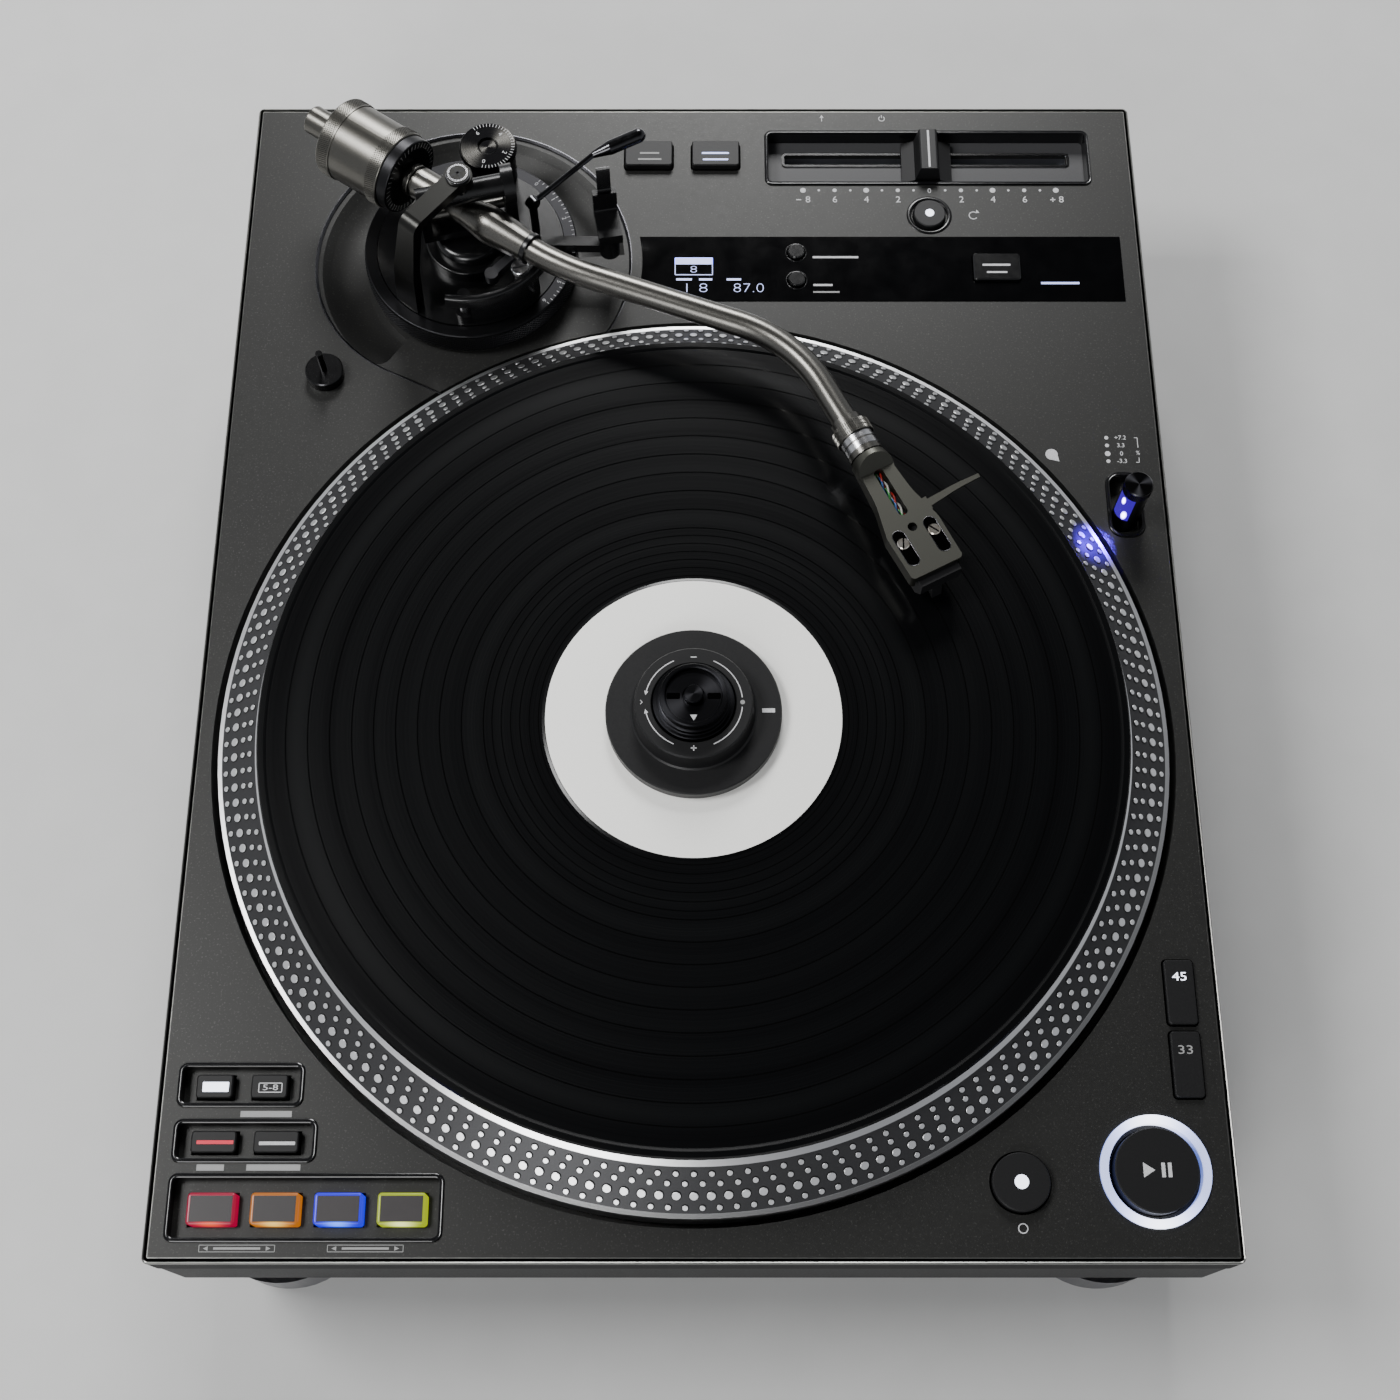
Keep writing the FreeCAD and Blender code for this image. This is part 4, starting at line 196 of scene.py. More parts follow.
def finish_material(made, tree, **inputs):
    """Ends a material in one Principled shader."""
    named = {key.replace("_", " "): value for key, value in inputs.items()}
    shader = add_node(tree, "ShaderNodeBsdfPrincipled", named)
    add_node(tree, "ShaderNodeOutputMaterial", {"Surface": shader.outputs[0]})
    return made


# Finishes


def satin_paint():
    """Cast panel under fine-textured satin paint: a soft grey sheen over charcoal, with painted shade on the outer
    side faces, which are coloured near black and given less sheen.
    """
    made, tree = new_material("satin_paint")
    texture = grain(tree, 0.5, 3.0)
    flake = spread(tree, grain(tree, 0.7, 1.0), 0.0, 1.0, 0.6, 0.8)
    place = add_node(tree, "ShaderNodeSeparateXYZ", {0: object_coordinates(tree)})
    corner = box("top_panel")[1]
    # Painted shade: past the top's edge, on the outer side faces, the colour turns near black and the sheen drops.
    past = [math_node(tree, "SUBTRACT", math_node(tree, "ABSOLUTE", place.outputs[n]), (corner[n] - 0.4) * MM)
            for n in (0, 1)]
    painted_shade_sides = spread(tree, math_node(tree, "MAXIMUM", *past), 0.0, 1.0, 0.0, 0.3 * MM)
    colour = blend(tree, painted_shade_sides, blend(tree, flake, "#2b2b2a", "#434341"), "#0c0c0d")
    rough = math_node(tree, "ADD", spread(tree, grain(tree, 1.4), 0.38, 0.5), spread(tree, painted_shade_sides, 0.0, 0.15))
    return finish_material(made, tree, Base_Color=colour, Metallic=spread(tree, painted_shade_sides, 0.5, 0.0), Roughness=rough,
                           Specular_IOR_Level=spread(tree, painted_shade_sides, 0.5, 0.1), Normal=bump(tree, texture, 0.07, 0.4))


def moulded_frame():
    """Moulded ABS with a fine spark-eroded texture: dull, evenly dark."""
    made, tree = new_material("moulded_frame")
    return finish_material(made, tree, Base_Color=blend(tree, grain(tree, 0.7), "#0c0c0d", "#141415"),
                           Roughness=spread(tree, grain(tree, 1.0), 0.5, 0.64), IOR=1.35,
                           Normal=bump(tree, grain(tree, 0.6, 3.0), 0.05, 0.4))


def heavy_rubber():
    """Filled rubber base: matt black with a faint bloom."""
    made, tree = new_material("heavy_rubber")
    return finish_material(made, tree, Base_Color=blend(tree, grain(tree, 14), "#0e0e0f", "#171718"),
                           Roughness=0.78, IOR=1.52, Normal=bump(tree, grain(tree, 0.8, 3.0), 0.06, 0.5))


def turned_metal(name, low, high, centre, roughness, pitch=0.5, depth=0.02):
    """Turned or spun aluminium: rings about its axis that break the light into fans."""
    made, tree = new_material(name)
    rings = math_node(tree, "MULTIPLY", radius_from(tree, centre), 1 / pitch)
    cut = rings_noise(tree, rings, 1.0, 3.0)
    return finish_material(made, tree, Base_Color=blend(tree, cut, low, high), Metallic=1.0,
                           Roughness=spread(tree, cut, roughness - 0.08, roughness + 0.1),
                           Normal=bump(tree, cut, depth, 0.5))


def gun_metal(name, low, high, roughness, spacing=0.4):
    """Aluminium, bead blasted and dark anodised: a soft, even metal sheen."""
    made, tree = new_material(name)
    blast = grain(tree, spacing, 3.0)
    return finish_material(made, tree, Base_Color=blend(tree, blast, low, high), Metallic=1.0,
                           Roughness=spread(tree, blast, roughness - 0.06, roughness + 0.08),
                           Normal=bump(tree, blast, 0.015, 0.35))


def polished_metal(name, code, roughness=0.14):
    """Machined and polished aluminium or steel: bright, with faint lines left by the tool."""
    made, tree = new_material(name)
    lines = grain(tree, 5.0, 2.0)
    return finish_material(made, tree, Base_Color=blend(tree, lines, code, "#f2f2f4"), Metallic=1.0,
                           Roughness=spread(tree, lines, roughness, roughness + 0.06))


def gloss_plastic(name, low, high, roughness, spacing=3.0):
    """Moulded gloss ABS or acrylic: sharp reflections over black, with slight handling haze."""
    made, tree = new_material(name)
    haze = grain(tree, spacing, 4.0)
    return finish_material(made, tree, Base_Color=blend(tree, haze, low, high),
                           Roughness=spread(tree, haze, roughness, roughness + 0.08), IOR=1.5,
                           Normal=bump(tree, haze, 0.01, 0.15))


def satin_plastic(name, low, high, roughness, spacing=0.5):
    """Moulded ABS with a fine etched grain: a broad, soft highlight."""
    made, tree = new_material(name)
    etch = grain(tree, spacing, 3.0)
    return finish_material(made, tree, Base_Color=blend(tree, etch, low, high),
                           Roughness=spread(tree, etch, roughness, roughness + 0.14), IOR=1.38,
                           Normal=bump(tree, etch, 0.03, 0.4))


def print_ink(name, code, roughness=0.5):
    """Screen-printed ink: slightly uneven, opaque."""
    made, tree = new_material(name)
    return finish_material(made, tree, Base_Color=blend(tree, grain(tree, 0.4), code, "#9a9a9c"),
                           Roughness=spread(tree, grain(tree, 0.5), roughness, roughness + 0.15))


def lit_plastic(name, code, strength, core="#ffffff", share=0.35):
    """Frosted acrylic lit from behind by a diode: an even glow, a little whiter in its hot parts."""
    made, tree = new_material(name)
    glow = blend(tree, spread(tree, grain(tree, 2.5, 1.0), 0.0, share), code, core)
    return finish_material(made, tree, Base_Color=linear(code), Roughness=0.35, Emission_Color=glow,
                           Emission_Strength=strength)


def lit_pad(name, key, code, hot, strength):
    """Translucent pad wall over one diode at its front: coloured all round, nearly white in front of the diode."""
    made, tree = new_material(name)
    low, high = box(key)
    diode = ((low.x + high.x) / 2, low.y + 1, high.z - 1)
    near = nearness(tree, diode, 7)
    power = spread(tree, near, strength, strength * 2.6)
    return finish_material(made, tree, Base_Color=linear("#101010"), Roughness=0.3, Emission_Strength=power,
                           Emission_Color=blend(tree, near, code, hot))


def ring_glow():
    """Frosted light guide round the start key, hottest where its two diodes sit at the front and the back."""
    made, tree = new_material("ring_glow")
    low, high = box("start_ring")
    x, z = (low.x + high.x) / 2, high.z
    near = math_node(tree, "MAXIMUM", nearness(tree, (x, low.y + 2, z), 19), nearness(tree, (x, high.y - 2, z), 19))
    return finish_material(made, tree, Base_Color=linear("#dfe6ff"), Roughness=0.3,
                           Emission_Strength=spread(tree, near, 0.7, 4.0),
                           Emission_Color=blend(tree, near, "#7490ff", "#eef2ff"))


def lamp_glow():
    """Two diodes behind the lamp's violet window, each a tall white-hot streak."""
    made, tree = new_material("lamp_glow")
    post, flatter = middle("lamp_post"), 0.38
    streaks = []
    for angle, level, reach in ((214, 115.2, 1.0), (238, 106.6, 1.25)):
        spot = Vector((*around_point(post.x, post.y, 5.2, math.radians(angle)), level * flatter)) * MM
        place = add_node(tree, "ShaderNodeMapping", {
            "Vector": object_coordinates(tree), "Location": -spot, "Scale": (1, 1, flatter)}).outputs[0]
        away = add_node(tree, "ShaderNodeVectorMath", {0: place}, operation="LENGTH").outputs["Value"]
        streaks.append(spread(tree, away, 1.0, 0.0, reach * MM * 0.5, reach * MM))
    near = math_node(tree, "MAXIMUM", *streaks)
    return finish_material(made, tree, Base_Color=linear("#0a0430"), Roughness=0.12,
                           Emission_Strength=spread(tree, near, 0.5, 14.0),
                           Emission_Color=blend(tree, near, "#5a00ff", "#dcd8ff"))


def conic_metal(name, low, high, centre, fans, roughness=0.3):
    """Spun metal with painted highlights: a few bright and dark sectors round the middle are painted into its colour,
    with fine rings about its axis in its roughness and bump.
    """
    made, tree = new_material(name)
    place = add_node(tree, "ShaderNodeSeparateXYZ", {0: object_coordinates(tree, centre)})
    angle = math_node(tree, "ARCTAN2", place.outputs[1], place.outputs[0])
    # Painted highlight: the colour turns bright in a few sectors by angle round the middle.
    painted_sheen_wave = math_node(tree, "SINE", math_node(tree, "MULTIPLY_ADD", angle, float(fans)))
    share = spread(tree, math_node(tree, "POWER", spread(tree, painted_sheen_wave, 0.0, 1.0, -1.0, 1.0), 5.0), 0.0, 1.0)
    rings = math_node(tree, "MULTIPLY", radius_from(tree, centre), 3.0)
    cut = rings_noise(tree, rings, 1.0, 2.0)
    return finish_material(made, tree, Base_Color=blend(tree, share, low, high), Metallic=1.0,
                           Roughness=spread(tree, cut, roughness - 0.06, roughness + 0.08),
                           Normal=bump(tree, cut, 0.01, 0.4))


def strobe_platter():
    """Die-cast aluminium, anodised dark grey on the strobe cone and turned bright on both lips."""
    made, tree = new_material("strobe_platter")
    radius = radius_from(tree, PLATTER)
    outer = spread(tree, radius, 0.0, 1.0, 165.6, 165.75)
    inner = spread(tree, radius, 1.0, 0.0, 152.1, 152.25)
    lip = math_node(tree, "MAXIMUM", outer, inner)
    rings = rings_noise(tree, radius, 2.0, 3.0)
    speck = grain(tree, 0.5, 3.0)
    colour = blend(tree, lip, blend(tree, speck, "#333334", "#434345"), "#efeff0")
    rough = spread(tree, lip, 0.42, 0.3)
    cut = math_node(tree, "MULTIPLY", rings, spread(tree, lip, 1.0, 0.0))
    return finish_material(made, tree, Base_Color=colour, Metallic=spread(tree, lip, 0.6, 1.0), Roughness=rough,
                           Normal=bump(tree, cut, 0.01, 0.25))


def pressed_vinyl():
    """Pressed vinyl: black, its grooves drawn coarser than the real tenth of a millimetre so that they show."""
    made, tree = new_material("pressed_vinyl")
    radius = radius_from(tree, PLATTER)
    groove = rings_noise(tree, radius, 2.2, 4.0)
    tracks = rings_noise(tree, radius, 0.1, 1.0)
    rough = math_node(tree, "ADD", spread(tree, tracks, 0.2, 0.27), spread(tree, groove, -0.04, 0.04))
    cut = math_node(tree, "MULTIPLY", groove, spread(tree, radius, 0.25, 1.0, 69.0, 71.5))
    return finish_material(made, tree, Base_Color=blend(tree, tracks, "#040405", "#08090a"), IOR=1.38,
                           Roughness=rough, Normal=bump(tree, cut, 0.012, 0.25))


def label_paper():
    """Uncoated label paper pressed into the vinyl: warm white with faint fibre."""
    made, tree = new_material("label_paper")
    fibre = grain(tree, 0.7, 4.0)
    return finish_material(made, tree, Base_Color=blend(tree, fibre, "#fffffb", "#f8f7f2"),
                           Roughness=0.62, Normal=bump(tree, fibre, 0.02, 0.2))


def wool_felt():
    """Pressed felt: matt, fuzzy, dark."""
    made, tree = new_material("wool_felt")
    fuzz = grain(tree, 0.5, 4.0)
    return finish_material(made, tree, Base_Color=blend(tree, fuzz, "#121214", "#2a2a2d"), Roughness=0.95,
                           Sheen_Weight=0.4, Normal=bump(tree, fuzz, 0.2, 0.6))


def laminate_board():
    """Glass-fibre circuit board under green resist."""
    made, tree = new_material("laminate_board")
    weave = add_node(tree, "ShaderNodeTexWave", {"Vector": object_coordinates(tree), "Scale": 400.0}).outputs[1]
    return finish_material(made, tree, Base_Color=blend(tree, weave, "#0d3b22", "#14522f"), Roughness=0.4,
                           Normal=bump(tree, weave, 0.02, 0.3))


def pit_black():
    """Painted shade: black that stands for the unlit inside of a narrow gap or slot, with faint dust over it and
    nothing to mirror.
    """
    made, tree = new_material("pit_black")
    return finish_material(made, tree, Base_Color=blend(tree, grain(tree, 1.0), "#010101", "#050505"),
                           Roughness=0.9, Specular_IOR_Level=0.0)


def rolled_sheet(name, low, high):
    """Rolled and plated sheet metal: fine drawn lines along one way."""
    made, tree = new_material(name)
    place = add_node(tree, "ShaderNodeMapping", {"Vector": object_coordinates(tree), "Scale": (1, 18, 18)})
    drawn = grain(tree, 2.0, 3.0, place.outputs[0])
    return finish_material(made, tree, Base_Color=blend(tree, drawn, low, high), Metallic=1.0,
                           Roughness=spread(tree, drawn, 0.28, 0.42), Normal=bump(tree, drawn, 0.01, 0.3))


def studio_floor():
    """Matt pale studio board."""
    made, tree = new_material("studio_floor")
    return finish_material(made, tree, Base_Color=blend(tree, grain(tree, 30), "#c9c9c8", "#d2d2d1"),
                           Roughness=0.9)


MATERIALS = {}


def finish(name):
    return MATERIALS[name]


def make_materials():
    made = [
        pit_black(), satin_paint(), moulded_frame(), heavy_rubber(), strobe_platter(), pressed_vinyl(), label_paper(),
        wool_felt(), laminate_board(), studio_floor(), ring_glow(), lamp_glow(),
        rolled_sheet("folded_aluminium", "#8d8f93", "#b5b7bb"),
        rolled_sheet("zinc_plate", "#8f9197", "#c3c4c8"),
        turned_metal("turned_foot", "#56565a", "#7c7c80", middle("feet"), 0.34, 1.2),
        # Painted highlights: these three spun finishes carry bright and dark sectors painted into their colour.
        conic_metal("spun_dial_painted_sheen", "#060607", "#4c4b48", middle("anti_skate_dial"), 2, 0.26),
        conic_metal("spun_post_painted_sheen", "#101011", "#55555a", middle("lamp_post"), 3, 0.34),
        conic_metal("clamp_painted_sheen", "#1b1b1d", "#4c4c50", PLATTER, 2, 0.34),
        turned_metal("turned_steel", "#9c9ca0", "#c9c9cc", PLATTER, 0.24, 0.6),
        gun_metal("gun_metal_arm", "#5f5e5a", "#716f6b", 0.28),
        gun_metal("gun_metal_yoke", "#2c2c2b", "#393937", 0.3),
        gun_metal("gun_metal_weight", "#585753", "#6b6964", 0.3),
        gun_metal("spare_weight", "#2e2e2f", "#3d3d3e", 0.24),
        gun_metal("black_ring", "#242425", "#303032", 0.36),
        gun_metal("warm_shell", "#454540", "#53534e", 0.44),
        gun_metal("dark_chrome", "#3c3c3e", "#4c4c4e", 0.18, 2.0),
        gun_metal("lever_grey", "#6e6e72", "#87878b", 0.35),
        gun_metal("laminated_iron", "#3a3430", "#57504a", 0.5),
        gun_metal("rim_edge", "#6f6f6c", "#868683", 0.3, 4.0),
        gun_metal("bevel_metal", "#5c5c5f", "#707074", 0.24, 5.0),
        polished_metal("polished_steel", "#77777a", 0.2),
        polished_metal("strobe_silver", "#ececec", 0.34),
        polished_metal("bright_screw", "#a9a9ad", 0.18),
        polished_metal("brass_screw", "#b9a477", 0.2),
        gloss_plastic("window_acrylic", "#020203", "#040405", 0.05, 9.0),
        gloss_plastic("gloss_tray", "#0b0b0c", "#141416", 0.12),
        gloss_plastic("gloss_deck", "#080809", "#101011", 0.2),
        gloss_plastic("vinyl_gap", "#020202", "#040404", 0.06, 9.0),
        gloss_plastic("blank_pad", "#231f20", "#2c2829", 0.4),
        gloss_plastic("gloss_key", "#060607", "#0d0d0e", 0.14),
        satin_plastic("satin_key", "#0e0e0f", "#171718", 0.42),
        satin_plastic("fader_grey", "#3a3a3b", "#48484a", 0.42),
        satin_plastic("matt_clamp", "#121213", "#1d1d1e", 0.34),
        # Painted shadow: black for the rings round the strobe dots' feet.
        satin_plastic("painted_dot_shadow", "#040404", "#070707", 0.6),
        satin_plastic("socket_plastic", "#0c0c0d", "#161618", 0.4),
        print_ink("white_ink", "#e6e6e8"), print_ink("grey_ink", "#8b8b88"),
        lit_plastic("lit_white", "#e9eeff", 2.6), lit_plastic("lit_screen", "#b9c4ff", 1.1, "#e4e8ff"),
        lit_plastic("lit_red", "#c8002c", 0.3, "#ff1448"),
        lit_pad("pad_red", "pad_1", "#e80050", "#ff5a30", 0.5),
        lit_pad("pad_orange", "pad_2", "#f08818", "#ffd060", 0.62),
        lit_pad("pad_blue", "pad_3", "#1800ff", "#4a80ff", 1.1),
        lit_pad("pad_yellow", "pad_4", "#c8dc10", "#f8ffa0", 0.75),
        gloss_plastic("wire_red", "#6e120d", "#a02118", 0.3, 1.0),
        gloss_plastic("wire_white", "#8f8d86", "#c4c2ba", 0.3, 1.0),
        gloss_plastic("wire_green", "#145f28", "#3d9a44", 0.3, 1.0),
        gloss_plastic("wire_blue", "#1d4277", "#3f76b8", 0.3, 1.0),
    ]
    for item in made:
        MATERIALS[item.name] = item


NODE_FINISHES = {
    "satin_paint": ["top_panel", "panel_trays"],
    "window_acrylic": ["display_panel"],
    "moulded_frame": ["side_frame"],
    "heavy_rubber": ["bottom_base"],
    "turned_foot": ["feet"],
    "bright_screw": ["case_screws"],
    "ring_glow": ["start_ring"],
    "zinc_plate": ["fader_unit"],
    "laminate_board": ["main_board"],
    "folded_aluminium": ["power_supply"],
    "socket_plastic": ["rear_sockets", "cartridge"],
    "laminated_iron": ["motor_stator"],
    "turned_steel": ["rotor_shaft"],
    "strobe_platter": ["platter"],
    "wool_felt": ["slipmat"],
    "pressed_vinyl": ["record"],
    "matt_clamp": ["clamp_base", "clamp_dial"],
    "black_ring": ["pressure_ring", "height_ring"],
    "gloss_deck": ["arm_base", "lifter_housing", "anti_skate_housing", "arm_rest", "bearing_block",
                   "lifter_rail", "rest_clip"],
    "gun_metal_yoke": ["yoke"],
    "gun_metal_arm": ["arm_sleeve", "arm_tube", "locking_collar"],
    "gun_metal_weight": ["counterweight"],
    "spare_weight": ["auxiliary_weight"],
    "spun_dial_painted_sheen": ["anti_skate_dial"],
    "lever_grey": ["height_lock_lever"],
    "dark_chrome": ["cue_lever"],
    "warm_shell": ["headshell"],
    "spun_post_painted_sheen": ["lamp_post"],
    "satin_key": ["fader_knob", "power_switch", "left_key_one", "right_key_one", "left_key_two",
                  "right_key_two", "pad_1", "pad_2", "pad_3", "pad_4", "step_key", "range_key",
                  "speed_key_45", "speed_key_33", "reset_key", "start_key", "motor_key"],
    "gloss_key": ["needle_key", "menu_key_high", "menu_key_low"],
}


# Mesh building


def new_mesh():
    return bmesh.new()


def prism(bm, points, low, high):
    """An upright prism on a simple outline that runs anticlockwise."""
    bottom = [bm.verts.new((x, y, low)) for x, y in points]
    top = [bm.verts.new((x, y, high)) for x, y in points]
    count = len(points)
    bm.faces.new(list(reversed(bottom)))
    bm.faces.new(top)
    for index in range(count):
        after = (index + 1) % count
        bm.faces.new((bottom[index], bottom[after], top[after], top[index]))
    return bottom + top


def bar(bm, x, y, wide, deep, low, high, angle=0.0):
    """A flat rectangle about a centre, turned about Z."""
    c, s = math.cos(angle), math.sin(angle)
    corners = [(-wide / 2, -deep / 2), (wide / 2, -deep / 2), (wide / 2, deep / 2), (-wide / 2, deep / 2)]
    return prism(bm, [(x + u * c - v * s, y + u * s + v * c) for u, v in corners], low, high)


def disc(bm, x, y, radius, low, high, sides=32):
    return prism(bm, [around_point(x, y, radius, FULL_TURN * n / sides) for n in range(sides)], low, high)


def arc_band(bm, x, y, inner, outer, start, end, low, high, steps=48):
    """Part of a flat ring, between two angles."""
    angles = [start + (end - start) * n / steps for n in range(steps + 1)]
    outside, inside = ([around_point(x, y, radius, a) for a in angles] for radius in (outer, inner))
    if abs(end - start) < FULL_TURN - 1e-6:
        return strip(bm, outside, inside, low, high, closed=False)
    return strip(bm, outside[:-1], inside[:-1], low, high, closed=True)


def strip(bm, outside, inside, low, high, closed):
    """A flat band between two matching rows of points."""
    rows = []
    for points, level in ((outside, low), (outside, high), (inside, high), (inside, low)):
        rows.append([bm.verts.new((x, y, level)) for x, y in points])
    return skin(bm, rows, closed)


def inset(points, amount):
    """A closed outline that runs anticlockwise, moved inwards."""
    moved = []
    for n, point in enumerate(points):
        here = Vector(point)
        ahead = (Vector(points[(n + 1) % len(points)]) - here).normalized()
        back = (here - Vector(points[n - 1])).normalized()
        normal = Vector((-ahead.y - back.y, ahead.x + back.x)).normalized()
        moved.append(tuple(here + normal * amount / max(normal.dot(Vector((-ahead.y, ahead.x))), 0.5)))
    return moved


def moulding(bm, points, section):
    """A closed moulding that follows an outline. Its section is a loop of inset and level."""
    rows = [[bm.verts.new((x, y, level)) for x, y in inset(points, amount)] for amount, level in section]
    return skin(bm, rows, closed=True)


def rounded_outline(corners, steps=14):
    """Points round a closed outline, anticlockwise. Each corner is x, y and its rounding radius."""
    points = []
    for n, (x, y, radius) in enumerate(corners):
        here = Vector((x, y))
        back = (Vector(corners[n - 1][:2]) - here).normalized()
        ahead = (Vector(corners[(n + 1) % len(corners)][:2]) - here).normalized()
        if not radius:
            points.append((x, y))
            continue
        half = back.angle(ahead) / 2
        centre = here + (back + ahead).normalized() * radius / math.sin(half)
        first = here + back * radius / math.tan(half) - centre
        start, turn = math.atan2(first.y, first.x), math.pi - 2 * half
        points += [around_point(centre.x, centre.y, radius, start + turn * step / steps)
                   for step in range(steps + 1)]
    return points


def skin(bm, rows, closed):
    """Joins four or more rows of points into a tube whose section runs through the rows."""
    count = len(rows[0])
    runs = count if closed else count - 1
    for index, row in enumerate(rows):
        other = rows[(index + 1) % len(rows)]
        for n in range(runs):
            m = (n + 1) % count
            bm.faces.new((row[n], row[m], other[m], other[n]))
    if not closed:
        bm.faces.new([row[0] for row in rows])
        bm.faces.new([row[-1] for row in reversed(rows)])
    return [vertex for row in rows for vertex in row]


def rounded_rectangle(x, y, wide, deep, corner, steps=6):
    """Points round a rectangle with rounded corners, anticlockwise."""
    points = []
    for side_x, side_y, start in ((1, -1, -0.5), (1, 1, 0), (-1, 1, 0.5), (-1, -1, 1)):
        cx, cy = x + side_x * (wide / 2 - corner), y + side_y * (deep / 2 - corner)
        points += [around_point(cx, cy, corner, (start + 0.5 * step / steps) * math.pi) for step in range(steps + 1)]
    return points


def plate(bm, x, y, wide, deep, corner, low, high):
    return prism(bm, rounded_rectangle(x, y, wide, deep, corner), low, high)


def frame_band(bm, x, y, wide, deep, corner, band, low, high):
    """A flat rectangular frame, band wide, inside the given outer size."""
    return moulding(bm, rounded_rectangle(x, y, wide, deep, corner),
                    [(0, low), (0, high), (band, high), (band, low)])


def lathe(bm, profile, steps=96, matrix=None):
    """Turns a closed outline of radius and height about Z, then moves it by a matrix."""
    rows = []
    for radius, level in profile:
        if radius < 1e-6:
            rows.append([bm.verts.new((0, 0, level))])
            continue
        turns = [FULL_TURN * n / steps for n in range(steps)]
        rows.append([bm.verts.new((radius * math.cos(a), radius * math.sin(a), level)) for a in turns])
    for index, row in enumerate(rows):
        other = rows[(index + 1) % len(rows)]
        if len(row) == 1 and len(other) == 1:
            continue
        for n in range(steps):
            m = (n + 1) % steps
            if len(row) == 1:
                bm.faces.new((row[0], other[m], other[n]))
            elif len(other) == 1:
                bm.faces.new((row[n], row[m], other[0]))
            else:
                bm.faces.new((row[n], row[m], other[m], other[n]))
    made = [vertex for row in rows for vertex in row]
    if matrix is not None:
        bmesh.ops.transform(bm, matrix=matrix, verts=made)
    return made


def tube(bm, points, radius, sides=10):
    """A round wire through points, with flat ends."""
    points = [Vector(point) for point in points]
    rings = []
    side = None
    for index, point in enumerate(points):
        before = points[max(index - 1, 0)]
        after = points[min(index + 1, len(points) - 1)]
        along = (after - before).normalized()
        guide = side if side is not None else Vector((0, 0, 1)) if abs(along.z) < 0.9 else Vector((1, 0, 0))
        across = along.cross(guide).normalized()
        side = across.cross(along).normalized()
        turns = [FULL_TURN * n / sides for n in range(sides)]
        rings.append([bm.verts.new(point + (across * math.cos(a) + side * math.sin(a)) * radius) for a in turns])
    for ring, other in zip(rings, rings[1:]):
        for n in range(sides):
            m = (n + 1) % sides
            bm.faces.new((ring[n], ring[m], other[m], other[n]))
    bm.faces.new(list(reversed(rings[0])))
    bm.faces.new(rings[-1])
    return [vertex for ring in rings for vertex in ring]


def stud(bm, across, level, wide, tall, rise, sink=0.25):
    """One pyramid of a knurl. X points out of the surface, Y along the turn and Z along the axis."""
    base = [bm.verts.new((-sink, across + y, level + z)) for y, z in
            ((wide / 2, 0), (0, tall / 2), (-wide / 2, 0), (0, -tall / 2))]
    tip = bm.verts.new((rise, across, level))
    bm.faces.new(list(reversed(base)))
    for n in range(4):
        bm.faces.new((base[n], base[(n + 1) % 4], tip))


def diamonds(radius, count, start, end, rows, rise):
    """Two staggered columns of knurl pyramids, which a ring of copies repeats all round."""
    item = new_mesh()
    pitch = FULL_TURN * radius / count
    tall = (end - start) / rows
    for row in range(rows):
        stud(item, 0, start + tall * (row + 0.5), pitch, tall, rise)
        if row:
            stud(item, pitch / 2, start + tall * row, pitch, tall, rise)
    return item


def letters(bm, text, size, x, y, low, high, angle=0.0, wide=None, thin=0.0):
    """Plain numerals or signs, centred on x, y, set to the given width and with their strokes thinned."""
    curve = bpy.data.curves.new("letters", "FONT")
    curve.body = text
    curve.size = size
    curve.align_x = "CENTER"
    curve.align_y = "CENTER"
    curve.extrude = (high - low) / 2
    curve.resolution_u = 3
    curve.offset = -thin * size
    holder = bpy.data.objects.new("letters", curve)
    bpy.context.scene.collection.objects.link(holder)
    bpy.context.view_layer.update()
    mesh = bpy.data.meshes.new_from_object(holder.evaluated_get(bpy.context.evaluated_depsgraph_get()))
    across = [vertex.co.x for vertex in mesh.vertices]
    stretch = wide / (max(across) - min(across)) if wide else 1
    place = Matrix.Translation((x, y, (low + high) / 2)) @ Matrix.Rotation(angle, 4, "Z")
    mesh.transform(place @ Matrix.Diagonal((stretch, 1, 1, 1)))
    bm.from_mesh(mesh)
    bpy.data.objects.remove(holder)
    bpy.data.curves.remove(curve)
    bpy.data.meshes.remove(mesh)


def piece(name, bm, material, body, replaces=(), smooth=None, matrix=None):
    """Turns millimetre mesh data into an object that rides on a body."""
    if matrix is not None:
        bm.transform(matrix)
    bmesh.ops.remove_doubles(bm, verts=bm.verts, dist=1e-4)
    bmesh.ops.recalc_face_normals(bm, faces=bm.faces)
    bm.transform(Matrix.Scale(MM, 4))
    mesh = bpy.data.meshes.new(name)
    bm.to_mesh(mesh)
    bm.free()
    made = bpy.data.objects.new(name, mesh)
    bpy.context.scene.collection.objects.link(made)
    mesh.materials.append(finish(material))
    if smooth is not None:
        mesh.shade_smooth()
        mesh.set_sharp_from_angle(angle=math.radians(smooth))
    settle(made, body, replaces)
    return made


def settle(made, body, replaces=()):
    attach(made, body)
    if replaces:
        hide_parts(*replaces)


# Geometry nodes: copies of one small item round an arc or along a line


